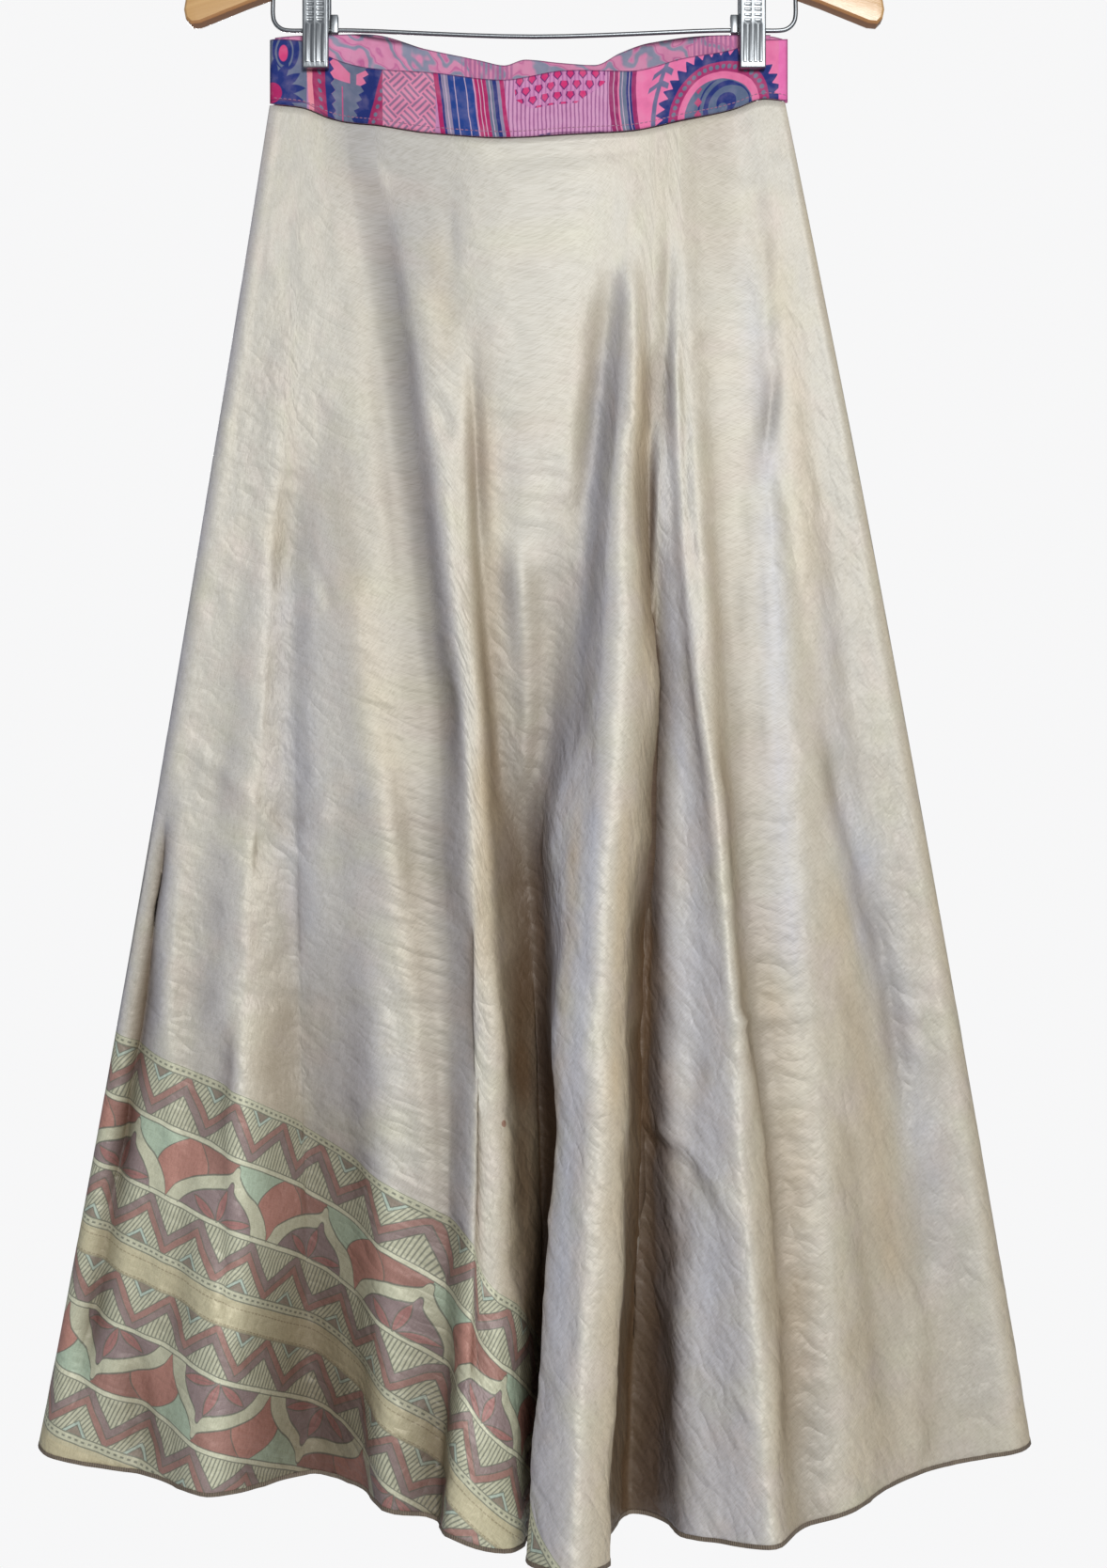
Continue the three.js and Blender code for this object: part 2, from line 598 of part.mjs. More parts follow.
for (const tie of TIES) {
  const columns = tieColumns(tie, places, cloth, clothNormals);
  add(tie.name, wall(columns, gridNormals(columns), 0, 2, TIE_WALL), bandCloth);
}

add("hanger_arms", hangerArms(), wood);
add("hanger_hook", hangerHook(), steel);
add("hanger_bar", hangerBar(), steel);
for (const [name, side] of [["left", -1], ["right", 1]]) {
  add(`${name}_clip_front`, clipJaw(side * CLIP_X, -1, GRIP_FRONT), steel);
  add(`${name}_clip_back`, clipJaw(side * CLIP_X, 1, GRIP_BACK), steel);
  add(`${name}_clip_tongue`, clipTongue(side * CLIP_X, -side), steel);
}

export default group;
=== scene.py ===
import bmesh
import bpy
import numpy as np
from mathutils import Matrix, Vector, noise


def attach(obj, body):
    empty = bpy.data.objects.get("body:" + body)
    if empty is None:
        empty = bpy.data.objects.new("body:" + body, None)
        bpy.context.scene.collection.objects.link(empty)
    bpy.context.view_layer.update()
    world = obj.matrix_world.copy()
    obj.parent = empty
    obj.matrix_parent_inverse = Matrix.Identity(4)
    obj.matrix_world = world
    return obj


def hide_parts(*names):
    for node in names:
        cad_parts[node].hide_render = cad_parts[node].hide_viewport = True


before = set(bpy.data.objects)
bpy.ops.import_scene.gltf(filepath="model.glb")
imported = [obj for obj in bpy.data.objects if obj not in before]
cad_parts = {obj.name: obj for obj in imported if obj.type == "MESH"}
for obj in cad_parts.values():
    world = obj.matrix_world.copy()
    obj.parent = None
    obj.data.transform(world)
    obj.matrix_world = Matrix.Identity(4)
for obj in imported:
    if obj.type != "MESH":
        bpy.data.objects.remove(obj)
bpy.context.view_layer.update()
bpy.ops.object.select_all(action="DESELECT")

# ---------------------------------------------------------------- camera
# The skirt is looked at straight from the front, from 1.3 m away, level with the thigh.
MM = 0.001
EYE = np.array([12.4, -1300.0, -650.6])
SEEN_HEIGHT = 1009.1
SENSOR = 36.0
camera = bpy.data.objects.new("camera", bpy.data.cameras.new("camera"))
bpy.context.collection.objects.link(camera)
camera.data.sensor_width = SENSOR
camera.data.lens = SENSOR * -EYE[1] / SEEN_HEIGHT
camera.data.clip_start = 0.05
camera.location = EYE * MM
camera.rotation_euler = (np.pi / 2, 0, 0)
bpy.context.scene.camera = camera

# ---------------------------------------------------------------- the wrap
# The skirt is one flared length of cloth in three cut pieces: an under panel, a front panel and
# an over panel. It hangs in folds, and each fold line has its place at the waist, at the knee
# and at the hem. Sizes are in millimetres, as a maker would write them.
SKIRT_LENGTH = 885
LAYER_GAP = 2.5
LAYER_SPREAD = 6
OPENING = 3.5
OPENING_DONE = 0.15
WAIST_GAP = 1.0
KNEE = 0.45
SOFT_START = 0.15


def table(columns, rows):
    """The rows as dictionaries, with the columns as their keys."""
    return [dict(zip(columns, row)) for row in rows]


BAND_COLUMNS = ("x", "y", "top", "bottom")
FRONT_BAND = table(BAND_COLUMNS, [
    (-170, 0.2, -172, -213), (-167, -1.4, -172, -213.5), (-150, -1.6, -173, -215.5),
    (-130, -1.6, -184, -223), (-97, -13, -195.5, -231), (-66, -19, -199.5, -237.5),
    (-20, -24, -206, -242), (20, -24, -200, -240), (60, -20, -199, -236.5),
    (95, -12, -188, -227), (130, -1.6, -178, -216), (148, -1.6, -172.5, -210),
    (160, -1.2, -172, -211), (163, 1.3, -171, -212),
])
BACK_BAND = table(BAND_COLUMNS, [
    (-170, 0.2, -172, -213), (-167, 1.8, -170, -212), (-152, 0.9, -169, -210.5),
    (-130, 0.9, -168.5, -209.5), (-104, 10, -165, -207), (-70, 17, -172, -213),
    (-36, 20, -178, -219), (-20, 21, -181, -221), (-6, 21.5, -177, -220),
    (15, 21.5, -179, -220.5), (40, 20, -181, -220.5), (56, 18, -174, -215),
    (75, 15, -168.5, -210.5), (104, 9, -166.5, -207), (130, 0.9, -168.5, -209),
    (152, 0.9, -168.5, -209.5), (160, 1.3, -170, -211), (163, 1.3, -171, -212),
])

FOLD_COLUMNS = ("name", "waist", "knee", "hem", "depth", "start")
FRONT_FOLDS = table(FOLD_COLUMNS, [
    ("left_turn", -166, -229, -315, 15, 0.25),
    ("left_edge", -161, -214, -284, 9, 0.2),
    ("left_plain", -156, -197, -246, 4, 0.2),
    ("left_ridge", -152, -174, -206, -24, 0.15),
    ("left_hollow", -147, -152, -144, 27, 0.3),
    ("left_flank", -142, -130, -110, 2, 0.15),
    ("first_edge", -135, -105, -91, -34, 0.12),
    ("first_front", -120, -81, -68, -31, 0.1),
    ("first_valley", -104, -62, -60, -29, 0.08),
    ("second_edge", -97, -44, -50, -62, 0.03),
    ("second_ridge", -56, -36, -14, -56, 0.12),
    ("valley_left", -38, -19, 1, -10, 0.25),
    ("valley_floor", -4, -4, 14, 22, 0.3),
    ("valley_right", 36, 11, 30, 2, 0.25),
    ("fold_neck", 54, 22, 20, -46, 0.12),
    ("fold_left", 60, 31, -4, -82, 0.1),
    ("fold_crest", 65, 42, 24, -114, 0.1),
    ("fold_right", 71, 52, 43, -98, 0.1),
    ("fold_return", 76, 61, 46, -44, 0.12),
    ("brown_valley", 80, 70, 60, -2, 0.1),
    ("lilac_foot", 84, 79, 79, -14, 0.1),
    ("lilac_flank", 87, 88, 92, -50, 0.1),
    ("lilac_front", 90, 99, 114, -68, 0.1),
    ("crisp_ridge", 93, 112, 145, -88, 0.1),
    ("beside_ridge", 107, 124, 165, -60, 0.1),
    ("broad_front", 126, 160, 191, -56, 0.1),
    ("right_ridge", 141, 187, 224, -23, 0.08),
    ("right_hollow", 148, 203, 258, 0, 0.2),
    ("right_plain", 154, 221, 294, 8, 0.25),
    ("right_turn", 158.5, 232, 316, 11, 0.25),
])
LEFT_SIDE = table(FOLD_COLUMNS, [("left_side", -170, -235, -326, 31, 0.25)])
RIGHT_SIDE = table(FOLD_COLUMNS, [("right_side", 161, 238, 325, 26, 0.25)])
BACK_FOLDS = table(FOLD_COLUMNS, [
    ("back_left_turn", -163, -226, -310, 58, 0.12),
    ("back_ridge_1", -142, -190, -262, 96, 0.1),
    ("back_valley_1", -118, -150, -205, 62, 0.1),
    ("back_ridge_2", -84, -104, -140, 104, 0.06),
    ("back_valley_2", -52, -62, -82, 64, 0.12),
    ("back_ridge_3", -14, -16, -20, 100, 0.16),
    ("back_valley_3", 26, 32, 44, 66, 0.14),
    ("back_ridge_4", 58, 72, 100, 106, 0.08),
    ("back_valley_4", 92, 118, 162, 63, 0.1),
    ("back_ridge_5", 124, 166, 226, 94, 0.06),
    ("back_valley_5", 143, 200, 278, 66, 0.12),
    ("back_right_turn", 157, 228, 312, 48, 0.15),
])


def hung(folds, band, side, layer):
    """Fold lines on a band. side is -1 in front and 1 behind, and layer 1 is the outer cloth."""
    return [dict(fold, band=band, side=side, layer=layer) for fold in folds]


WRAP = (
    hung(BACK_FOLDS[-2::-1], BACK_BAND, 1, 0)
    + hung(LEFT_SIDE, FRONT_BAND, 0, 0)
    + hung(FRONT_FOLDS, FRONT_BAND, -1, 0)
    + hung(RIGHT_SIDE, FRONT_BAND, 0, 0)
    + hung(BACK_FOLDS[-1:], BACK_BAND, 1, 0.6)
    + hung(BACK_FOLDS[-2:0:-1], BACK_BAND, 1, 1)
)
LINE_NAMES = [fold["name"] for fold in WRAP]
LEFT_SEAM = LINE_NAMES.index("left_side")
RIGHT_SEAM = LINE_NAMES.index("right_side")
FREE_EDGE = len(WRAP) - 1


def slope_at(rows, i, key):
    """The slope of a band table's curve at row i, flat at its ends and at its turns."""
    if i in (0, len(rows) - 1):
        return 0.0
    before, here, after = rows[i - 1], rows[i], rows[i + 1]
    rising = (here[key] - before[key]) / (here["x"] - before["x"])
    leaving = (after[key] - here[key]) / (after["x"] - here["x"])
    return 0.0 if rising * leaving <= 0 else 2 * rising * leaving / (rising + leaving)


def smooth_at(rows, x, key):
    """A band table's curve, read at x."""
    i = max(1, next((k for k, row in enumerate(rows) if row["x"] >= x), len(rows) - 1))
    a, b = rows[i - 1], rows[i]
    width = b["x"] - a["x"]
    f = min(1.0, max(0.0, (x - a["x"]) / width))
    slope_a, slope_b = (slope_at(rows, k, key) * width for k in (i - 1, i))
    return (
        a[key] * (2 * f**3 - 3 * f**2 + 1) + slope_a * (f**3 - 2 * f**2 + f)
        + b[key] * (3 * f**2 - 2 * f**3) + slope_b * (f**3 - f**2)
    )


def growth(v, start):
    """How far a fold has grown at the heights v, from 0 where it starts to 1 at the hem."""
    rise = np.maximum(0, (v - start) / (1 - start))
    return rise**2 / (rise + SOFT_START) * (1 + SOFT_START)


def fold_line(fold, v):
    """x and y of a fold line at the heights v, from 0 at the waist to 1 at the hem."""
    straight = (fold["hem"] - fold["waist"]) * KNEE
    bend = (fold["knee"] - fold["waist"] - straight) / (KNEE * (KNEE - 1))
    x = fold["waist"] + (fold["hem"] - fold["waist"]) * v + bend * v * (v - 1)
    waist_y = smooth_at(fold["band"], fold["waist"], "y") + fold["layer"] * LAYER_GAP
    fade = (1 - v) ** 2
    opening = fold["side"] * OPENING * np.minimum(1, v / OPENING_DONE)
    spread = fold["layer"] * (LAYER_GAP + LAYER_SPREAD * v) * (1 - fade)
    y = waist_y * fade + opening + spread + fold["depth"] * growth(v, fold["start"])
    return np.stack([x, y], axis=-1)


def curve_at(points, places):
    """A smooth curve through points, read at places, each a point's number plus a fraction."""
    i = np.minimum(np.floor(places).astype(int), len(points) - 2)
    w = (places - i).reshape((-1,) + (1,) * (points.ndim - 1))
    before, after = 2 * points[0] - points[1], 2 * points[-1] - points[-2]
    padded = np.concatenate([before[None], points, after[None]])
    p0, p1, p2, p3 = (padded[i + k] for k in range(4))
    gaps = [np.linalg.norm(leg, axis=-1, keepdims=True) for leg in (p1 - p0, p2 - p1, p3 - p2)]
    d0, d1, d2 = (np.sqrt(np.maximum(gap, 1e-6)) for gap in gaps)
    t1 = ((p1 - p0) / d0 - (p2 - p0) / (d0 + d1) + (p2 - p1) / d1) * d1
    t2 = ((p2 - p1) / d1 - (p3 - p1) / (d1 + d2) + (p3 - p2) / d2) * d1
    curve = (-3 * p1 + 3 * p2 - 2 * t1 - t2) * w**2 + (2 * p1 - 2 * p2 + t1 + t2) * w**3
    return p1 + t1 * w + curve


def cloth_surface(places, rows):
    """The cloth's middle surface as [column, row, xyz]. Each column has the cloth's full length."""
    v = np.linspace(0, 1, rows + 1)
    xy = curve_at(np.stack([fold_line(fold, v) for fold in WRAP]), places)
    step = SKIRT_LENGTH / rows
    across = np.linalg.norm(np.diff(xy, axis=1), axis=-1)
    on_front = (places > LEFT_SEAM) & (places < RIGHT_SEAM)
    bands = [FRONT_BAND if front else BACK_BAND for front in on_front]
    top = np.array([smooth_at(band, x, "bottom") for band, x in zip(bands, xy[:, 0, 0])])
    drop = np.cumsum(np.sqrt(step**2 - across**2), axis=1)
    z = (top - WAIST_GAP)[:, None] - np.concatenate([np.zeros((len(places), 1)), drop], axis=1)
    return np.concatenate([xy, z[..., None]], axis=-1)


def places_between(first, last, pitch):
    """Places along the wrap, about pitch millimetres apart at the hem."""
    places = []
    hem = np.array([fold_line(fold, np.ones(1))[0] for fold in WRAP])
    for i in range(first, last):
        steps = max(2, round(np.linalg.norm(hem[i + 1] - hem[i]) / pitch))
        places += [i + j / steps for j in range(steps)]
    return np.array(places + [last], float)


def grid_normals(grid):
    """The cloth's outward directions at the points of a grid."""
    across = np.gradient(grid, axis=0)
    down = np.gradient(grid, axis=1)
    normals = np.cross(down, across)
    return normals / np.linalg.norm(normals, axis=-1, keepdims=True)


def new_piece(name, vertices, faces, uv=None, **values):
    """A mesh object from points in millimetres. values hold one number for each point."""
    mesh = bpy.data.meshes.new(name)
    mesh.from_pydata((np.asarray(vertices) * MM).tolist(), [], faces)
    if uv is not None:
        layer = mesh.uv_layers.new(name="cloth")
        corners = np.empty(len(mesh.loops), int)
        mesh.loops.foreach_get("vertex_index", corners)
        layer.data.foreach_set("uv", np.asarray(uv)[corners].astype(np.float32).ravel())
    for key, numbers in values.items():
        attribute = mesh.attributes.new(key, "FLOAT", "POINT")
        attribute.data.foreach_set("value", np.asarray(numbers, np.float32).ravel())
    mesh.polygons.foreach_set("use_smooth", [True] * len(mesh.polygons))
    piece = bpy.data.objects.new(name, mesh)
    bpy.context.collection.objects.link(piece)
    return piece


def shell(name, grid, thickness, uv, **values):
    """A closed thin shell round a grid of points. uv and values have one entry for each."""
    normals = grid_normals(grid)
    columns, rows = grid.shape[:2]
    outer = np.arange(columns * rows).reshape(columns, rows)
    inner = outer + columns * rows
    faces = []

    def strip(a, b, c, d):
        faces.extend(np.stack([a, b, c, d], axis=-1).reshape(-1, 4).tolist())

    strip(outer[:-1, :-1], outer[:-1, 1:], outer[1:, 1:], outer[1:, :-1])
    strip(inner[:-1, :-1], inner[1:, :-1], inner[1:, 1:], inner[:-1, 1:])
    strip(outer[:-1, 0], outer[1:, 0], inner[1:, 0], inner[:-1, 0])
    strip(outer[:-1, -1], inner[:-1, -1], inner[1:, -1], outer[1:, -1])
    strip(outer[0, :-1], inner[0, :-1], inner[0, 1:], outer[0, 1:])
    strip(outer[-1, :-1], outer[-1, 1:], inner[-1, 1:], inner[-1, :-1])
    half = normals * thickness / 2
    points = np.concatenate([(grid + half).reshape(-1, 3), (grid - half).reshape(-1, 3)])
    values = {key: np.tile(np.ravel(numbers), 2) for key, numbers in values.items()}
    values["inner"] = np.repeat([0.0, 1.0], columns * rows)
    return new_piece(name, points, faces, np.concatenate([uv.reshape(-1, 2)] * 2), **values)


# ---------------------------------------------------------------- creases
# Silk keeps the marks of folding and of handling: long hollows beside the folds, fold lines from
# packing, and short soft wrinkles. Each is a line of points as seen from the front, x and z, and
# a crease with a height below 0 is a hollow.
CREASE_END = 0.2
CREASE_WAVES = (23, 61)
CRUMPLE_SIZE = 46
CREASE_COLUMNS = ("name", "height", "width", "line")
FRONT_CREASES = table(CREASE_COLUMNS, [
    ("first_hollow", -7, 12, [(-112, -249), (-106, -273), (-98, -328), (-89, -418), (-77, -509),
                              (-62, -600), (-54, -691)]),
    ("first_branch", -1.5, 5, [(-69, -396), (-60, -412), (-54, -428)]),
    ("second_crest", 4, 6, [(-46, -509), (-38, -600), (-34, -691), (-28, -781), (-21, -872),
                            (-16, -963), (-10, -1023)]),
    ("first_deep", -8, 12, [(-47, -709), (-41, -781), (-35, -872), (-34, -963), (-38, -1041),
                            (-41, -1090)]),
    ("first_crest", 4, 10, [(-102, -600), (-93, -691), (-80, -781), (-69, -872), (-62, -963),
                            (-60, -1023)]),
    ("left_flat", -6, 16, [(-152, -412), (-158, -485), (-165, -557), (-171, -618), (-176, -691),
                           (-183, -781), (-191, -860)]),
    ("left_fill", 8, 26, [(-132, -485), (-133, -570), (-139, -660), (-143, -751), (-149, -842),
                          (-154, -933), (-156, -1005)]),
    ("left_dip", -15, 10, [(-238, -642), (-244, -691), (-253, -781), (-268, -872), (-282, -963),
                           (-293, -1023), (-298, -1078)]),
    ("left_rib", 4, 9, [(-225, -660), (-231, -703), (-236, -781), (-231, -872), (-237, -963),
                        (-269, -1054)]),
    ("left_dip_2", -6, 9, [(-201, -787), (-206, -872), (-200, -963), (-195, -1017)]),
    ("left_dip_3", -6, 8, [(-259, -993), (-254, -1054), (-252, -1096)]),
    ("tan_strip_left", -3.5, 5, [(-41, -352), (-38, -418), (-34, -509), (-26, -600), (-22, -654),
                                 (-12, -691)]),
    ("tan_strip_ridge", 4, 8, [(-12, -485), (-6, -557), (-5, -606), (-10, -666)]),
    ("middle_hollow", -6.5, 10, [(53, -305), (48, -346), (44, -388), (37, -449), (31, -509), (25, -570),
                                 (23, -606), (19, -648)]),
    ("valley_lift", 6, 16, [(11, -618), (14, -678), (17, -751), (19, -799), (19, -872)]),
    ("valley_line", 3, 7, [(-5, -678), (-4, -781), (-3, -872), (-5, -963), (-12, -1054)]),
    ("fold_crest", 6, 8, [(63, -388), (61, -418), (58, -509), (52, -600), (49, -691), (46, -781),
                          (45, -872), (46, -963), (48, -1054), (49, -1102)]),
    ("fold_top", 3.5, 7, [(60, -309), (63, -346), (64, -388), (63, -436)]),
    ("crest_left", -3, 16, [(37, -721), (32, -812), (26, -902), (23, -993), (21, -1090)]),
    ("valley_fill", 12, 13, [(71, -461), (70, -521), (67, -600), (67, -691), (69, -781), (67, -872),
                             (66, -963), (65, -1054)]),
    ("second_bright", 4, 6, [(80, -388), (81, -449), (81, -509), (77, -570), (75, -618), (72, -691),
                             (69, -763)]),
    ("beside_crisp", -2.2, 6, [(87, -276), (87, -328), (88, -388), (92, -461), (96, -521)]),
    ("crisp_edge", 4, 4.5, [(90, -267), (90, -328), (91, -388), (93, -449), (96, -497), (106, -584),
                            (116, -658), (128, -793), (142, -868), (153, -997), (155, -1138)]),
    ("brown_lift", 4, 12, [(83, -606), (87, -691), (88, -781), (89, -872), (87, -933)]),
    ("brown_hollow", -1.5, 5, [(81, -691), (80, -739), (78, -781), (74, -872), (75, -963), (73, -1054),
                               (74, -1102)]),
    ("thin_crease", -2.6, 4, [(158, -365), (155, -390), (148, -434), (144, -476), (142, -521),
                              (142, -534), (141, -583), (140, -660)]),
    ("right_groove", -1.2, 6, [(140, -249), (147, -303), (150, -358), (152, -418), (164, -485),
                               (175, -557), (188, -618)]),
    ("right_groove_low", -4, 6, [(182, -594), (188, -618), (204, -691), (219, -739), (228, -781),
                                 (240, -872)]),
    ("right_peak", 2.5, 6, [(240, -960), (243, -979), (246, -1010), (246, -1060), (245, -1100)]),
    ("left_turned_edge", 1.8, 5, [(-223, -640), (-244, -751), (-253, -812), (-262, -872)]),
    ("packed_1", -0.9, 3, [(-193, -450), (-165, -453), (-135, -453)]),
    ("packed_2", -0.9, 3, [(-193, -464), (-165, -466), (-135, -467)]),
    ("packed_3", -0.7, 3, [(-135, -456), (-60, -452), (19, -450)]),
    ("packed_4", -1.8, 3.5, [(-223, -784), (-162, -789), (-102, -795), (-35, -799)]),
    ("packed_5", 2.4, 3.5, [(83, -808), (140, -802), (182, -796), (222, -787)]),
    ("wrinkle_1", 2.2, 3.5, [(-223, -626), (-199, -642), (-168, -678), (-150, -704)]),
    ("wrinkle_2", 1.8, 3.5, [(-150, -677), (-129, -672), (-111, -678)]),
    ("wrinkle_3", -0.9, 4, [(-149, -494), (-135, -521), (-126, -545)]),
    ("wrinkle_4", -0.8, 4, [(-58, -273), (-54, -290), (-53, -314)]),
    ("wrinkle_5", -0.8, 6, [(4, -275), (31, -277), (61, -280)]),
    ("under_band", -2.2, 6, [(-40, -246), (10, -243), (40, -241), (78, -236)]),
    ("wrinkle_6", 2.6, 5, [(60, -856), (95, -880), (118, -905), (130, -935)]),
    ("wrinkle_7", -2.4, 5, [(72, -868), (98, -895), (112, -925)]),
    ("wrinkle_8", -2, 6, [(190, -850), (205, -880), (214, -930)]),
    ("wrinkle_9", 1.2, 4, [(-112, -236), (-104, -256), (-92, -270)]),
    ("lower_rib_1", 2, 9, [(188, -860), (187, -933), (191, -1005), (195, -1066)]),
    ("lower_dip_1", -2.2, 8, [(204, -896), (216, -963), (228, -1041), (234, -1090)]),
    ("lower_dip_2", -1.8, 7, [(255, -896), (252, -951), (246, -993)]),
    ("lower_rib_2", 1.8, 7, [(237, -1005), (240, -1054), (244, -1090)]),
    ("lower_dip_3", -2, 7, [(104, -799), (101, -872), (96, -933), (93, -981)]),
])
# Lengths of painted sheen, where one of the silk's two threads shows more: gold is above 0, and
# lilac is below.
FRONT_SHEEN_TINTS = table(CREASE_COLUMNS, [
    ("tan_strip", 0.75, 9, [(-41, -328), (-34, -388), (-31, -461), (-28, -533), (-29, -630),
                            (-34, -751), (-37, -842)]),
    ("left_gold", 0.4, 12, [(-131, -400), (-119, -485), (-107, -570), (-91, -654), (-78, -751),
                            (-74, -842)]),
    ("first_gold", 0.4, 9, [(-64, -285), (-60, -340), (-55, -388)]),
    ("neck_lilac", -0.9, 7, [(48, -346), (43, -400), (38, -461), (34, -533), (30, -594), (26, -630)]),
    ("crest_gold", 0.9, 6, [(67, -346), (69, -406), (72, -485), (74, -557), (74, -606)]),
    ("crest_lilac", -0.8, 7, [(83, -400), (84, -461), (87, -533), (93, -618), (103, -691),
                              (109, -781)]),
    ("front_gold", 0.25, 9, [(113, -400), (116, -485), (117, -570), (119, -666), (123, -751)]),
    ("right_lilac", -0.7, 9, [(131, -279), (140, -340), (147, -406), (152, -485), (156, -570),
                              (159, -666), (164, -751), (170, -842)]),
    ("right_gold", 0.45, 9, [(144, -249), (152, -303), (168, -400), (176, -509), (181, -606)]),
    ("edge_lilac", -0.5, 12, [(182, -485), (195, -606), (204, -691), (219, -812)]),
    ("lower_gold", 0.35, 10, [(51, -787), (49, -872), (49, -963), (51, -1090)]),
    ("flank_gold", 0.9, 6, [(31, -630), (23, -727), (17, -799), (11, -872), (5, -951), (-2, -1054)]),
    ("flank_lilac", -0.8, 6, [(42, -606), (36, -727), (30, -799), (23, -872), (18, -951), (14, -1054)]),
    ("crest_tan", 0.8, 5, [(60, -630), (58, -691), (55, -751), (53, -824), (51, -896)]),
    ("brown_gold", 1.1, 6, [(75, -727), (72, -787), (70, -848), (74, -896)]),
    ("front_lilac", -0.6, 16, [(93, -691), (101, -787), (109, -872), (113, -981), (118, -1114)]),
    ("broad_gold", 0.7, 14, [(144, -727), (158, -812), (165, -902), (168, -993), (165, -1114)]),
    ("outer_lilac", -0.6, 14, [(201, -630), (225, -751), (249, -872), (267, -993)]),
    ("outer_gold", 0.6, 9, [(188, -691), (204, -787), (222, -896), (234, -1005)]),
    ("valley_lilac", -0.9, 9, [(19, -570), (17, -630), (13, -691), (12, -751), (11, -812), (8, -860)]),
    ("left_lilac", -0.6, 16, [(-162, -485), (-156, -606), (-150, -721), (-144, -812)]),
])
BACK_CREASES = table(CREASE_COLUMNS, [
    ("back_hollow_1", -5, 12, [(-70, -230), (-74, -330), (-66, -450), (-78, -560)]),
    ("back_hollow_2", -4, 9, [(40, -240), (48, -320), (44, -430)]),
    ("back_edge_1", 3, 6, [(-100, -260), (-112, -420), (-128, -640), (-150, -900), (-158, -1060)]),
    ("back_edge_2", 3, 6, [(74, -300), (84, -480), (98, -700), (116, -930)]),
    ("back_hollow_3", -3, 6, [(150, -300), (160, -430), (172, -520)]),
    ("back_packed_1", -1, 3, [(-200, -462), (-60, -455), (60, -458), (190, -462)]),
    ("back_packed_2", 1.2, 3.5, [(-240, -790), (-100, -800), (60, -798), (240, -786)]),
    ("back_wrinkle_1", 1.3, 4, [(-60, -600), (-30, -640), (-12, -700)]),
    ("back_wrinkle_2", -1.2, 4, [(120, -560), (150, -590), (166, -640)]),
    ("back_wrinkle_3", 1.3, 4, [(-160, -700), (-130, -730), (-112, -790)]),
    ("back_wrinkle_4", -1.2, 5, [(20, -880), (46, -910), (60, -960)]),
])


def seen_from(grid, eye_y):
    """x and z of points as seen from in front or behind, on the hanger's plane."""
    share = -eye_y / (grid[..., 1] - eye_y)
    return EYE[0] + (grid[..., 0] - EYE[0]) * share, EYE[2] + (grid[..., 2] - EYE[2]) * share


def crease_height(grid, creases, eye_y):
    """The sum of the creases at each point. Each fades at its ends and is a little uneven."""
    x, z = seen_from(grid, eye_y)
    height = np.zeros_like(x)
    for crease in creases:
        line = np.array(crease["line"], float)
        legs = np.linalg.norm(np.diff(line, axis=0), axis=1)
        starts = np.concatenate([[0], np.cumsum(legs)])
        nearest = np.full_like(x, 1e9)
        along = np.zeros_like(x)
        for (ax, az), (bx, bz), leg, start in zip(line[:-1], line[1:], legs, starts):
            f = np.clip(((x - ax) * (bx - ax) + (z - az) * (bz - az)) / leg**2, 0, 1)
            distance = np.hypot(x - ax - f * (bx - ax), z - az - f * (bz - az))
            closer = distance < nearest
            nearest = np.where(closer, distance, nearest)
            along = np.where(closer, start + f * leg, along)
        total = starts[-1]
        fade = np.clip(np.minimum(along, total - along) / (CREASE_END * total), 0, 1)
        waves = np.sin(along / CREASE_WAVES[0] + line[0, 0]) * np.sin(along / CREASE_WAVES[1])
        profile = np.exp(-((nearest / crease["width"]) ** 2))
        height += crease["height"] * profile * fade * fade * (3 - 2 * fade) * (1 + 0.25 * waves)
    return height


def crumple(grid, strength):
    """Small random ups and downs, larger towards the hem."""
    columns, rows = grid.shape[:2]
    height = np.empty((columns, rows))
    for c in range(columns):
        for r in range(rows):
            spot = Vector(grid[c, r]) / CRUMPLE_SIZE
            sharp = 0.5 - abs(noise.noise(spot * 1.9 + Vector((7, 0, 3))))
            height[c, r] = 0.8 * noise.noise(spot) + 0.9 * sharp + 0.2 * noise.noise(spot * 6.5)
    grow = 0.35 + 0.65 * np.linspace(0, 1, rows)
    return height * strength * np.minimum(1, np.arange(rows) / 6) * grow


# ---------------------------------------------------------------- cloth panels
# The three panels are single thin silk. The flat cut is a ring sector: its threads, its printed
# border and its tuck run straight on the flat cloth, so each point keeps its place on the cut.
SILK_THICKNESS = 0.9
CLOTH_ROWS = 190
FRONT_PITCH = 4.9
BACK_PITCH = 7.5
FRONT_CRUMPLE = 2.5
BACK_CRUMPLE = 1.5
CALM_COLUMNS = 5
CALM_ROWS = 4
BORDER_ANGLE = np.radians(-35.8)
BORDER_START = -1199

waist_and_hem = cloth_surface(places_between(LEFT_SEAM, RIGHT_SEAM, FRONT_PITCH), CLOTH_ROWS)
waist_width, hem_width = (
    np.linalg.norm(np.diff(waist_and_hem[:, row], axis=0), axis=1).sum() for row in (0, -1)
)
FLARE = (hem_width - waist_width) / SKIRT_LENGTH
CUT_RADIUS = waist_width / FLARE


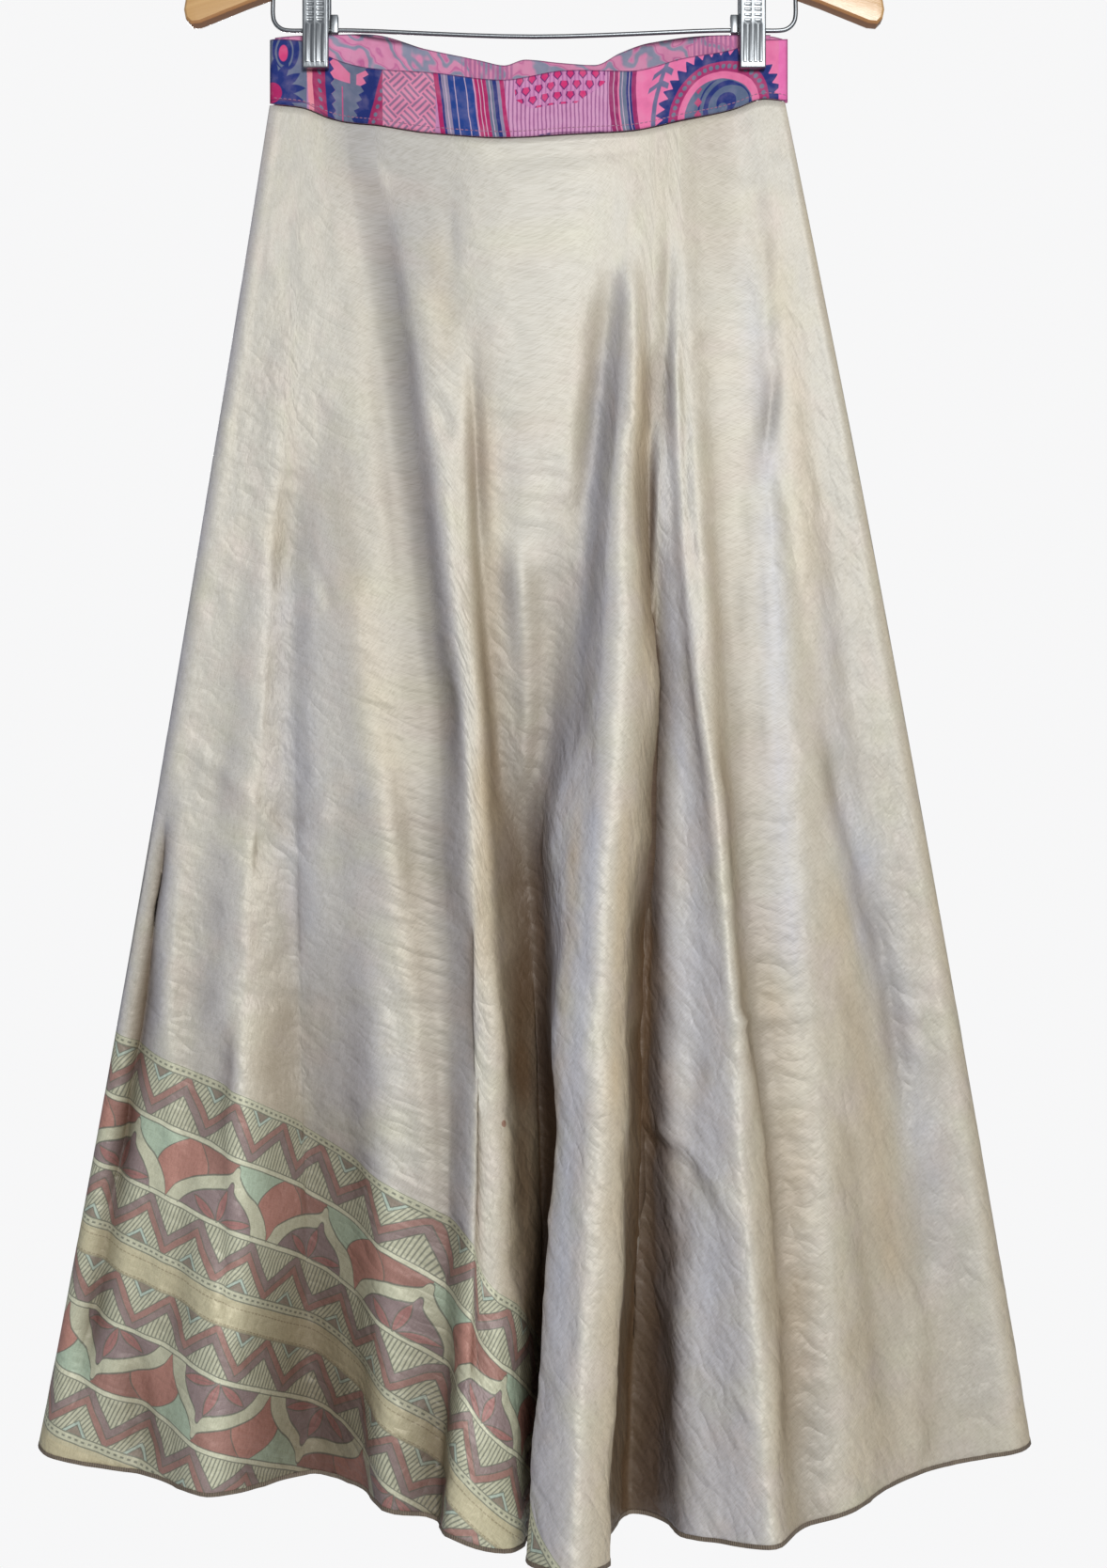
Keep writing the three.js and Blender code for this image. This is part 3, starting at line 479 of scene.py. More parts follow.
def on_the_cut(grid, first_seam):
    """
    Places on the flat cloth: s along the border, and t down from its upper edge, in metres.
    first_seam is the seam at the grid's first column, or None where it ends at the left seam.
    """
    widths = np.linalg.norm(np.diff(grid[:, -1], axis=0), axis=1)
    reach = np.concatenate([[0], np.cumsum(widths)])
    if first_seam is None:
        reach = reach - reach[-1]
    seam_turn = FLARE / 2 if first_seam == "right" else -FLARE / 2
    turn = reach / (CUT_RADIUS + SKIRT_LENGTH) + seam_turn
    radius = CUT_RADIUS + np.linspace(0, SKIRT_LENGTH, grid.shape[1])
    x = radius * np.sin(turn)[:, None]
    y = -radius * np.cos(turn)[:, None] - BORDER_START
    s = x * np.cos(BORDER_ANGLE) + y * np.sin(BORDER_ANGLE)
    t = x * np.sin(BORDER_ANGLE) - y * np.cos(BORDER_ANGLE)
    return np.stack([s, t], axis=-1) * MM


def openness(grid, reach=24):
    """How much of the outside each point can see along its own row, from 0 deep in a fold to 1."""
    flat, normals = grid[..., :2], grid_normals(grid)[..., :2]
    normals = normals / np.linalg.norm(normals, axis=-1, keepdims=True)
    hidden = np.zeros(grid.shape[:2])
    for side in (1, -1):
        highest = np.zeros(grid.shape[:2])
        for step in range(1, reach):
            other = np.roll(flat, -side * step, axis=0)
            away = other - flat
            rise = (away * normals).sum(-1)
            aside = np.abs(away[..., 0] * normals[..., 1] - away[..., 1] * normals[..., 0])
            angle = np.arctan2(rise, aside)
            if side > 0:
                angle[-step:] = 0
            else:
                angle[:step] = 0
            highest = np.maximum(highest, angle)
        hidden += highest
    return 1 - np.clip(hidden / np.pi, 0, 1)


def soften(values, times):
    """Values of a grid, averaged with their neighbours several times."""
    for _ in range(times):
        padded = np.pad(values, 1, mode="edge")
        beside = padded[:-2, 1:-1] + padded[2:, 1:-1] + padded[1:-1, :-2] + padded[1:-1, 2:]
        values = (beside + values) / 5
    return values


def panel(name, first, last, pitch, creases, tints, crumpled, eye_y, first_seam):
    """A panel between two places of the wrap, with its creased grid. Its edges stay smooth."""
    places = places_between(first, last, pitch)
    grid = cloth_surface(places, CLOTH_ROWS)
    normals = grid_normals(grid)
    columns = np.arange(len(places))
    calm_sides = np.minimum(1, np.minimum(columns, columns[::-1]) / CALM_COLUMNS)
    height = crease_height(grid, creases, eye_y) + crumple(grid, crumpled)
    height *= calm_sides[:, None] * np.minimum(1, np.arange(CLOTH_ROWS + 1) / CALM_ROWS)
    grid = grid + normals * height[..., None]
    # How open each point is, which the silk material turns into painted shade deep in the folds.
    fold = soften(openness(grid), 2)
    # Which way each point faces, left or right, for a painted sheen: gold to the right, lilac to the
    # left.
    turn = soften(grid_normals(grid)[..., 0] * -np.sign(eye_y), 3)
    # The lengths of painted sheen, gold and lilac, from the tint table.
    tint = crease_height(grid, tints, eye_y)
    cut = on_the_cut(grid, first_seam)
    return shell(name, grid, SILK_THICKNESS, cut, fold=fold, turn=turn, tint=tint), grid


front_panel, front_grid = panel(
    "skirt_front", LEFT_SEAM, RIGHT_SEAM, FRONT_PITCH, FRONT_CREASES, FRONT_SHEEN_TINTS,
    FRONT_CRUMPLE, EYE[1], "left",
)
under_panel, under_grid = panel(
    "skirt_under", 0, LEFT_SEAM, BACK_PITCH, [], [], BACK_CRUMPLE, -EYE[1], None,
)
over_panel, over_grid = panel(
    "skirt_over", RIGHT_SEAM, FREE_EDGE, BACK_PITCH, BACK_CREASES, [],
    BACK_CRUMPLE, -EYE[1], "right",
)


# ---------------------------------------------------------------- pattern tools
# Patterns are sums and comparisons of numbers over the cloth. A Field is one such number.
class Field:
    """A number at each place of a material, with the arithmetic to draw with it."""

    def __init__(self, tree, socket):
        self.tree, self.socket = tree, socket

    def calc(self, operation, *others, clamp=False):
        """This and further numbers or fields put through one kind of math node."""
        node = self.tree.nodes.new("ShaderNodeMath")
        node.operation, node.use_clamp = operation, clamp
        for slot, value in zip(node.inputs, (self, *others)):
            if isinstance(value, Field):
                self.tree.links.new(value.socket, slot)
            else:
                slot.default_value = float(value)
        return Field(self.tree, node.outputs[0])

    def __add__(self, other):
        return self.calc("ADD", other)

    __radd__ = __add__

    def __sub__(self, other):
        return self.calc("SUBTRACT", other)

    def __rsub__(self, other):
        return self.calc("MULTIPLY_ADD", -1, other)

    def __mul__(self, other):
        return self.calc("MULTIPLY", other)

    __rmul__ = __mul__

    def __truediv__(self, other):
        return self.calc("DIVIDE", other)

    def size(self):
        """This without its sign."""
        return self.calc("ABSOLUTE")

    def both(self, other):
        """The smaller of the two, which is where both masks are."""
        return self.calc("MINIMUM", other)

    def either(self, other):
        """The larger of the two, which is where either mask is."""
        return self.calc("MAXIMUM", other)

    def mask(self, gain=1.0, lift=0.0):
        """This times gain plus lift, kept between 0 and 1."""
        return self.calc("MULTIPLY_ADD", gain, lift, clamp=True)

    def within(self, period, start):
        """Distance past start, starting again at every period."""
        return ((self - start) / period).calc("FRACT") * period

    def above(self, edge, soft=0.35):
        """1 where this is above edge, 0 below, with a soft step between."""
        return (self - edge).calc("MULTIPLY_ADD", 1 / soft, 0.5, clamp=True)

    def below(self, edge, soft=0.35):
        """1 where this is below edge, 0 above."""
        return (self - edge).calc("MULTIPLY_ADD", -1 / soft, 0.5, clamp=True)

    def between(self, low, high, soft=0.35):
        """1 from low to high, 0 outside, with soft steps between."""
        return self.above(low, soft).both(self.below(high, soft))

    def line(self, at, width, soft=0.35):
        """1 on a line of that width where this equals at."""
        return (self - at).size().below(width / 2, soft)

    def through(self, points, span):
        """A smooth curve through points of (this, value). span is the greatest value."""
        node = self.tree.nodes.new("ShaderNodeFloatCurve")
        first, last = points[0][0], points[-1][0]
        self.tree.links.new(((self - first) / (last - first)).socket, node.inputs["Value"])
        curve = node.mapping.curves[0]
        while len(curve.points) < len(points):
            curve.points.new(0.5, 0.5)
        for point, (x, y) in zip(curve.points, points):
            point.location = ((x - first) / (last - first), y / span)
        node.mapping.update()
        return Field(self.tree, node.outputs[0]) * span


class Dye:
    """A material whose colour is laid on in coats, each with a mask."""

    def __init__(self, name, colour):
        self.material = bpy.data.materials.new(name)
        self.material.use_nodes = True
        self.tree = self.material.node_tree
        self.shader = self.tree.nodes["Principled BSDF"]
        ground = self.node("RGB")
        ground.outputs[0].default_value = (*colour, 1)
        self.colour = ground.outputs[0]

    def node(self, kind, **settings):
        """A new node of this material."""
        node = self.tree.nodes.new("ShaderNode" + kind)
        for key, value in settings.items():
            setattr(node, key, value)
        return node

    def cloth_place(self):
        """The place on the cut in millimetres."""
        split = self.node("SeparateXYZ")
        self.tree.links.new(self.node("UVMap", uv_map="cloth").outputs[0], split.inputs[0])
        return [Field(self.tree, socket) * 1000 for socket in split.outputs[:2]]

    def own_place(self):
        """The place in the object's own space in millimetres."""
        split = self.node("SeparateXYZ")
        self.tree.links.new(self.node("TexCoord").outputs["Object"], split.inputs[0])
        return [Field(self.tree, socket) * 1000 for socket in split.outputs]

    def value(self, name):
        """A number that the mesh holds for each of its points."""
        return Field(self.tree, self.node("Attribute", attribute_name=name).outputs["Fac"])

    def noise(self, x, y, size_x, size_y=None, detail=2.0, z=0.0):
        """A soft random number round 0, from about -0.5 to 0.5."""
        join, node = self.node("CombineXYZ"), self.node("TexNoise")
        for slot, value in zip(join.inputs, (x / size_x, y / (size_y or size_x))):
            self.tree.links.new(value.socket, slot)
        join.inputs[2].default_value = z
        node.inputs["Scale"].default_value = 1
        node.inputs["Detail"].default_value = detail
        self.tree.links.new(join.outputs[0], node.inputs["Vector"])
        return Field(self.tree, node.outputs[0]) - 0.5

    def coat(self, mask, colour, blend="MIX"):
        """Lays a colour over what is there, where the mask says so."""
        node = self.node("Mix", data_type="RGBA", blend_type=blend)
        self.tree.links.new(mask.socket, node.inputs["Factor"])
        self.tree.links.new(self.colour, node.inputs["A"])
        node.inputs["B"].default_value = (*colour, 1)
        self.colour = node.outputs["Result"]

    def finish(self, roughness, height=None, distance=0.0002, **sockets):
        """Closes the material with its roughness and its relief."""
        self.tree.links.new(self.colour, self.shader.inputs["Base Color"])
        self.shader.inputs["Roughness"].default_value = roughness
        for name, value in sockets.items():
            self.shader.inputs[name.replace("_", " ")].default_value = value
        if height is not None:
            bump = self.node("Bump")
            bump.inputs["Distance"].default_value = distance
            self.tree.links.new(height.socket, bump.inputs["Height"])
            self.tree.links.new(bump.outputs[0], self.shader.inputs["Normal"])
        return self.material


def sRGB(red, green, blue):
    """A colour as it looks on a screen, 0 to 255, in linear light."""
    return tuple(((c / 255 + 0.055) / 1.055) ** 2.4 for c in (red, green, blue))


# ---------------------------------------------------------------- silk
# Cream silk with a painted sheen, gold where it turns right and lilac where it turns left. Across
# the lower left runs a printed border: zigzags, a band of ogee leaves with a lotus in each, and a
# plain tucked strip.
INK = sRGB(74, 80, 76)
CREAM = sRGB(206, 206, 180)
TUCK = sRGB(204, 194, 160)
# The gold and the lilac of the painted sheen.
GOLD_SHEEN = sRGB(207, 186, 152)
LILAC_SHEEN = sRGB(194, 198, 213)
BORDER_EDGE = -2.6
BORDER_WIDTH = 256
WOBBLE = 2.4
dye = Dye("silk", sRGB(204, 200, 189))
s, t = dye.cloth_place()
turn, fold, tint = dye.value("turn"), dye.value("fold"), dye.value("tint")
# Painted sheen by facing: gold where the silk turns right, lilac where it turns left.
dye.coat((turn * 1.5 + 0.05 + dye.noise(s, t, 60) * 0.7).mask(0.5), sRGB(212, 194, 160))
dye.coat((turn * -1.5 - 0.05 + dye.noise(s, t, 70, z=3) * 0.5).mask(0.6), sRGB(194, 192, 203))
dye.coat(dye.noise(s, t, 45, z=5).mask(2), sRGB(206, 203, 180))
dye.coat(dye.noise(s, t, 38, z=9).mask(2), sRGB(210, 197, 188))
# Painted sheen along the listed lengths, gold and lilac, broken up by noise.
patchy_tint = tint * (dye.noise(s, t, 26, z=8) * 0.6 + 0.55)
dye.coat(patchy_tint.mask(1), GOLD_SHEEN)
dye.coat(patchy_tint.mask(-1), LILAC_SHEEN)

ws = s + dye.noise(s, t, 34, z=1) * WOBBLE
wt = t + dye.noise(s, t, 40, z=2) * WOBBLE
border = wt.above(BORDER_EDGE)
printed = border.both(wt.below(BORDER_WIDTH))
dye.coat(printed, CREAM)
hatch_a = ((ws + wt * 0.42) / 2.7).calc("FRACT").line(0.5, 0.34, 0.2)
hatch_b = ((ws + wt * 0.1) / 2.7).calc("FRACT").line(0.5, 0.34, 0.2)
ZIGZAG_PERIOD = 43
ZIGZAGS = table(("top", "bottom", "side", "peak"), [
    (3, 35, 1, -482), (82, 114, -1, -461), (138.5, 168.5, 1, -445), (216, 247, -1, -456),
])
ink = None
for zigzag in ZIGZAGS:
    depth = wt - zigzag["top"] if zigzag["side"] > 0 else zigzag["bottom"] - wt
    inside = wt.between(zigzag["top"], zigzag["bottom"])
    wave = (ws.within(ZIGZAG_PERIOD, zigzag["peak"]) / ZIGZAG_PERIOD - 0.5).size() * 2
    edge = depth - (wave * 22 - 2)
    dye.coat(inside.both(edge.below(-11)), sRGB(186, 206, 194))
    dye.coat(inside.both(edge.below(-14)), sRGB(140, 122, 112))
    dye.coat(inside.both(edge.between(0, 6.5)), sRGB(160, 104, 102))
    dye.coat(inside.both(edge.between(6.5, 13.5)), sRGB(140, 112, 118))
    marks = edge.line(0, 1.1).either(edge.line(6.5, 1.0)).either(edge.line(13.5, 1.1))
    marks = marks.either(edge.line(-11, 0.9)).either(edge.line(-14, 0.9))
    marks = marks.either(hatch_a.both(edge.between(-11, 0))).either(hatch_b.both(edge.above(13.5)))
    marks = marks.both(inside)
    ink = marks if ink is None else ink.either(marks)

LEAF_PERIOD = 86
LEAF_HEIGHT = 42
LEAF_LEFT = -49
RIBBON_TOP = [
    (-49, 42), (-46.5, 36), (-44, 31), (-36, 24), (-24, 17), (-11, 11.5), (-3, 7),
    (0, 2), (3, 8), (11, 15.5), (22, 21), (30, 28), (35, 36), (37, 42),
]
RIBBON_BOTTOM = [
    (-49, 60), (-38.4, 42), (-34, 35), (-24.6, 27), (-11, 21.5), (-3.5, 18.5), (-0.5, 13),
    (3, 19), (15, 28.5), (20.5, 35), (23.5, 42), (37, 60),
]
RIBBON_SPAN = 60
PETALS = table(("x", "y", "tip_x", "tip_y", "width"), [
    (-6, 42, -3, 19, 3.6), (-7, 41, -28, 31, 3.2), (-4, 41, 21, 35, 3.0),
])
for top, node_at, side in ((38, -488, 1), (171.5, -459, -1)):
    depth = wt - top if side > 0 else (top + LEAF_HEIGHT - 0.5) - wt
    inside = depth.between(0, LEAF_HEIGHT)
    if side > 0:
        near = ws.within(LEAF_PERIOD, node_at + LEAF_LEFT) + LEAF_LEFT
    else:
        near = (node_at - ws).within(LEAF_PERIOD, LEAF_LEFT) + LEAF_LEFT
    upper = near.through(RIBBON_TOP, RIBBON_SPAN)
    lower = near.through(RIBBON_BOTTOM, RIBBON_SPAN)
    beside = near + near.below(0, 0.01) * LEAF_PERIOD
    green_edge = depth * depth * 0.04 - depth * 1.75 + 42
    brick_edge = depth * 1.35 - depth * depth * 0.035 + 50
    above = inside.both((depth - upper).below(0))
    dye.coat(above, sRGB(176, 198, 176))
    dye.coat(above.both((beside - green_edge).above(0)), sRGB(186, 116, 108))
    dye.coat(above.both((beside - brick_edge).above(0)), sRGB(160, 96, 92))
    under = inside.both((depth - lower).above(0))
    dye.coat(under, sRGB(138, 110, 120))
    marks = (depth - upper).line(0, 1.3).either((depth - lower).line(0, 1.3))
    marks = marks.either((beside - green_edge).line(0, 1.0).both(above))
    marks = marks.either((beside - brick_edge).line(0, 1.0).both(above))
    for petal in PETALS:
        reach = np.hypot(petal["tip_x"] - petal["x"], petal["tip_y"] - petal["y"])
        ux, uy = (petal["tip_x"] - petal["x"]) / reach, (petal["tip_y"] - petal["y"]) / reach
        dx, dy = near - petal["x"], depth - petal["y"]
        along = (dx * ux + dy * uy) / reach
        across = (dx * -uy + dy * ux).size()
        rim = along * (1 - along) * (4 * petal["width"]) - across
        dye.coat(rim.above(0).both(under), sRGB(164, 92, 98))
        marks = marks.either(rim.line(0, 0.9).both(under).both(along.between(0, 1, 0.02)))
        vein = across.below(0.3, 0.4).both(along.between(0.1, 0.6, 0.1)).both(under)
        marks = marks.either(vein * 0.6)
    ink = ink.either(marks.both(inside))

for divider in (36.5, 80.5, 170, 214.5):
    dye.coat(wt.line(divider, 3.2), sRGB(222, 222, 196))
    ink = ink.either(wt.line(divider - 1.7, 0.8)).either(wt.line(divider + 1.7, 0.8))
dash = (ws / 4.6).calc("FRACT").line(0.5, 0.5, 0.15)
for row in (0, 117, 250):
    dye.coat(wt.line(row, 5.4), CREAM)
    ink = ink.either(wt.line(row - 2.7, 0.9)).either(wt.line(row + 2.7, 0.9))
    ink = ink.either(wt.line(row, 1.3).both(dash))
dye.coat(wt.between(120, 138.3), TUCK)
dye.coat(wt.between(253, 400), TUCK)
stitch = (ws / 3.1).calc("FRACT").line(0.5, 0.7, 0.2)
seam = wt.line(124.5, 0.8).either(wt.line(136.8, 0.8)).both(stitch)
dye.coat(seam * 0.6, sRGB(120, 96, 66))
# Painted shadow: a dark line just below the tuck's folded edge.
dye.coat(wt.between(137.4, 138.8) * 0.5, sRGB(96, 84, 66))
dye.coat(ink.both(border) * 0.8, INK)
dye.coat(printed * 0.2, CREAM)

STAIN_PLACE = (-212, -99)
stain_s, stain_t = s - STAIN_PLACE[0], t - STAIN_PLACE[1]
stain = (stain_s * stain_s + stain_t * stain_t).below(5, 2)
dye.coat(stain * 0.7, sRGB(150, 92, 72))

slub = dye.noise(s, t, 0.6, 4.5, detail=3) + dye.noise(s, t, 5, 0.55, detail=2, z=4) * 0.8
coarse = dye.noise(s, t, 1.1, 22, detail=1, z=6)
threads = (slub * 1.2 + coarse * 0.25).mask(1, 0.15)
dye.coat(threads * 0.8, sRGB(186, 180, 166), "MULTIPLY")
# Painted shade: the silk is darkened where it lies deep in a fold.
dye.coat((0.93 - fold).mask(1.9), sRGB(120, 101, 84), "MULTIPLY")
crush = dye.noise(s, t, 9, 13, z=11).size() * 16 + dye.noise(s, t, 38, 17, z=12).size() * 56
crushed_share = (t * 0.0007 + s * 0.0005 + dye.noise(s, t, 120, z=13) * 0.7).mask(1, 0.85)
relief = slub * 0.5 + coarse * 0.4 + crush * crushed_share
silk = dye.finish(0.52, height=relief, distance=0.0001, Metallic=0.1)

PANELS = ((front_panel, "front_panel"), (under_panel, "under_panel"), (over_panel, "over_panel"))
for piece, node in PANELS:
    piece.data.materials.append(silk)
    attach(piece, "root")
    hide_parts(node)

# ---------------------------------------------------------------- waistband print
# The waistband is a strip of printed sari cloth, mostly pink, lilac and navy. From its left end it
# has a lotus corner, a comb edge, a key lattice, cord stripes, rows of arrow leaves over fine
# stripes, and half a round medallion. u runs along the band and v down it, in millimetres.
NAVY = sRGB(28, 48, 124)
MAGENTA = sRGB(186, 32, 104)
PINK = sRGB(240, 128, 168)
BLUE_GREY = sRGB(112, 122, 148)
LILAC = sRGB(206, 142, 188)
band_dye = Dye("waistband_print", LILAC)
su, sv = band_dye.cloth_place()
u = su + band_dye.noise(su, sv, 15) * 1.6
v = sv + band_dye.noise(su, sv, 17, z=2) * 1.6


def far_from(x, y, cx, cy, stretch=1.0):
    """Distance of (x, y) from a centre, with the height scaled by stretch."""
    dx, dy = x - cx, (y - cy) * stretch
    return (dx * dx + dy * dy).calc("SQRT")


def stripes_of(x, period, share, start=0.0):
    """Stripes across x, each a share of the period wide."""
    return ((x - start) / period).calc("FRACT").line(0.5, share, 0.2)


corner = u.below(24, 0.2)
band_dye.coat(corner, BLUE_GREY)
paisley = far_from(u, v, 10.5, 6, 0.62)
band_dye.coat(corner.both(paisley.below(8.6)), NAVY)
band_dye.coat(corner.both(far_from(u, v, 9.5, 8, 0.56).line(5.4, 1.0)), BLUE_GREY)
band_dye.coat(far_from(u, v, 8.8, 9, 0.55).below(2.9), sRGB(226, 70, 130))
ray_angle = (34.5 - v).calc("ARCTAN2", u - 1)
ray = (ray_angle / 0.42).calc("FRACT").line(0.5, 1.0, 1.0)
petal_reach = far_from(u, v, 1, 34.5)
lotus = ((petal_reach - 6.5) / 13 - ray * 1.25).below(0, 0.1)
lotus = lotus.both(petal_reach.above(5)).both(ray.above(0.22, 0.1))
band_dye.coat(corner.both(lotus), NAVY)
band_dye.coat(petal_reach.below(6.8), MAGENTA)
lean = u - (v - 20) * 0.06
band_dye.coat(lean.between(24, 28), sRGB(246, 150, 166))
band_dye.coat(lean.between(27.5, 37), sRGB(170, 40, 98))
dot_u, dot_v = lean - 32.2, v.within(5.4, 1) - 2.7
band_dye.coat((dot_u * dot_u + dot_v * dot_v).below(1.6, 0.8), BLUE_GREY)
scallop = lean - (v.within(6.6, 0) / 6.6 - 0.5).size() * 5.5
band_dye.coat(lean.above(36).both(scallop.below(39.5)), NAVY)

leafy = u.between(37, 76)
grounds = leafy.both(scallop.above(39.5))
band_dye.coat(grounds, PINK)
stem = (u - 55).size()
vase = (stem + v * 0.13 - 6.4).below(0).both(v.above(13)).either(stem.below(2.2))
vase = vase.either(v.between(12.5, 15.5).both(stem.below(9))).either((stem - 12 + v * 1.6).below(0))
vase = vase.either((stem - 12.5).size().both(12 - v).below(-0.5))
band_dye.coat(grounds.both(vase), BLUE_GREY)
band_dye.coat(grounds.both((stem - 8.2 + v * 0.02).line(0, 0.9)).both(v.above(16)), sRGB(214, 92, 140))
comb = u - (v * -0.29 + 71.5)
teeth = (v.within(5.6, 1.4) / 5.6 - 0.5).size() * 6.5
band_dye.coat(leafy.both((comb + teeth).above(-4.2)), NAVY)
band_dye.coat(u.below(80).both(comb.above(4.4)), sRGB(176, 44, 104))
spot_v = v.within(5.0, 1.5) - 2.5
spot_u = comb - 8
band_dye.coat((spot_u * spot_u + spot_v * spot_v).below(1.9, 0.8).both(u.below(79)), BLUE_GREY)

lattice = u.between(76, 110.5)
band_dye.coat(lattice, sRGB(238, 146, 180))
turned, risen = (u + v) * 0.7071, (u - v) * 0.7071
flip = (turned / 10.2).calc("FLOOR") + (risen / 10.2).calc("FLOOR")
flip = (flip * 0.5).calc("FRACT").above(0.25, 0.01)
key = stripes_of(turned, 3.4, 0.42).both(flip).either(stripes_of(risen, 3.4, 0.42).both(1 - flip))
band_dye.coat(lattice.both(key), sRGB(148, 116, 148))

slant = u - v * 0.125
CORDS = table(("left", "right", "colour"), [
    (109, 112, MAGENTA), (112, 113.6, NAVY), (113.6, 118, sRGB(150, 140, 170)),
    (118, 134, sRGB(26, 66, 146)), (134, 135, sRGB(220, 160, 190)), (135, 142.5, MAGENTA),
    (142.5, 146.5, BLUE_GREY), (146.5, 149, NAVY), (149, 151, sRGB(150, 140, 170)),
    (151, 153.6, MAGENTA),
])
for cord in CORDS:
    band_dye.coat(slant.between(cord["left"], cord["right"], 0.25), cord["colour"])
for at in (115.8, 122.2, 129.2, 137.4, 139.8, 144.5):
    band_dye.coat(slant.line(at, 0.55, 0.3) * 0.85, sRGB(226, 196, 216))

fine = slant.above(153.6, 0.2).both(u.below(226))
band_dye.coat(fine, sRGB(222, 160, 200))
band_dye.coat(fine.both(stripes_of(u, 2.6, 0.34)), sRGB(160, 92, 146))
row_v = (v / 6.6).calc("FLOOR")
shifted = u + row_v * 4
arrow_u = shifted.within(8, 0) - 4
arrow_v = v.within(6.6, 0) - 3.3
arrow = arrow_u.size() * 1.3 + (arrow_v + 0.9).size() * 0.75 + arrow_v * 0.35
panel_of_arrows = (slant - 160).both(218 - u).both((u - 186).size() * -0.75 + 31.5 - v)
arrows = panel_of_arrows.above(0).both(v.below(21))
band_dye.coat(arrows * 0.5, sRGB(214, 130, 190))
band_dye.coat(arrows.both(arrow.below(3.5)), sRGB(112, 36, 112))
band_dye.coat(arrows.both(arrow.below(2.4)), sRGB(222, 48, 120))
band_dye.coat(u.between(168, 183).both(v.above(38.4)).both(stripes_of(u, 5, 0.6)), NAVY)

curved = u - (20 - v) * (20 - v) * 0.004 + v * -0.06
CORDS_RIGHT = table(("left", "right", "colour"), [
    (219.5, 225, sRGB(160, 36, 104)), (225, 226, PINK), (226, 230.5, BLUE_GREY), (230.5, 234, NAVY),
    (234, 237, sRGB(160, 36, 104)),
])
for cord in CORDS_RIGHT:
    band_dye.coat(curved.between(cord["left"], cord["right"], 0.25), cord["colour"])
for at in (222.4, 227.8, 232.2):
    band_dye.coat(curved.line(at, 0.5, 0.3) * 0.8, sRGB(226, 196, 216))

bright = curved.above(237, 0.2)
band_dye.coat(bright, sRGB(246, 126, 176))
vine = u - 249 - (v - 38) * (v - 38) * 0.0068
band_dye.coat(bright.both(vine.size().below(1.5)), sRGB(110, 112, 150))
barb = ((v - vine.size() * 0.6).within(8, 1.5) - 3).below(0.4, 0.6)
barb = barb.both(vine.size().below(6.5)).both(v.below(17))
band_dye.coat(bright.both(barb), sRGB(110, 112, 150))

ring = far_from(u, v, 293, 40)
ring_angle = (v - 40).calc("ARCTAN2", u - 293)
tooth = ((ring_angle / 0.168).calc("FRACT") - 0.5).size()
disc = ring.below(43).both(bright)
band_dye.coat(disc.both((ring + tooth * 12).below(43.5)).both(ring.above(34)), NAVY)
band_dye.coat(ring.below(38).both(ring.above(33.5)), NAVY)
band_dye.coat(ring.below(34), sRGB(176, 48, 112))
bead = ring - 30.8
bead_along = ((ring_angle / 0.138).calc("FRACT") - 0.5) * 4.3
band_dye.coat((bead * bead + bead_along * bead_along).below(2.2, 0.9), BLUE_GREY)
band_dye.coat(ring.below(27.6), sRGB(240, 122, 170))
band_dye.coat(ring.below(23.2), sRGB(96, 112, 142))
swirl = far_from(u, v, 300, 36)
centre = ring.below(22.6)
band_dye.coat(centre.both(swirl.line(15.5, 3.4)), NAVY)
band_dye.coat(centre.both(swirl.line(20.5, 1.2)), NAVY)
small_petals = ((u - 279).size() * 1.1 + (v.within(8, 2) - 4).size()).below(3.0, 0.6)
band_dye.coat(centre.both(small_petals), sRGB(196, 70, 120))
band_dye.coat(centre.both(far_from(u, v, 299, 33).below(6.6)), NAVY)
band_dye.coat(centre.both(far_from(u, v, 296.5, 36).below(3.2)), sRGB(96, 112, 142))
band_dye.coat(u.above(333, 0.6), sRGB(246, 120, 186))

inner = band_dye.value("inner")
drift = band_dye.noise(su, sv, 22, z=7)
swept = (su * 0.5 + sv * 0.9 + drift * 60) / 14
band_dye.coat(inner, sRGB(232, 150, 188))
band_dye.coat(inner.both(swept.calc("FRACT").line(0.5, 0.34, 0.15)), sRGB(146, 152, 176))
band_dye.coat(inner.both(swept.calc("FRACT").line(0.2, 0.1, 0.1)), sRGB(206, 110, 164))
inner_stripes = su.within(150, 18).below(34, 1).both(stripes_of(su, 3.0, 0.5))
band_dye.coat(inner.both(inner_stripes), sRGB(190, 116, 164))
edge_seam = v.line(39.2, 0.9).either(sv.line(0.3, 0.9))
band_dye.coat(edge_seam * 0.6, sRGB(96, 44, 92))
weave = stripes_of(su, 0.55, 0.6) * 0.5 + stripes_of(sv, 0.5, 0.6) * 0.5
worn = band_dye.noise(su, sv, 9, detail=4)
band_dye.coat(worn.mask(0.5, 0.02), sRGB(232, 206, 222))
band_dye.coat(worn.mask(-0.9) * 0.8, sRGB(150, 120, 150), "MULTIPLY")
pucker = band_dye.noise(su, sv, 5, 26, z=4) * 6 * sv.above(31, 6)
relief = weave + worn * 1.6 + pucker
band_print = band_dye.finish(0.62, height=relief, distance=0.00016, Specular_IOR_Level=0.35)

# ---------------------------------------------------------------- waistband
# Three lengths of a folded strip, sewn to the panels' tops: the front one between the sides, and
# behind it the under and the over one, which lap each other across the back.
BAND_THICKNESS = 1.7
BAND_PITCH = 1.7
BAND_ROWS = 22
BAND_TURN = 3
BAND_DEPTH = 0.041
BAND_CALM = 12
UNDER_BAND_END = 152
OVER_BAND_END = -152
CLIP_X = 140
CLIP_PRESS = 13


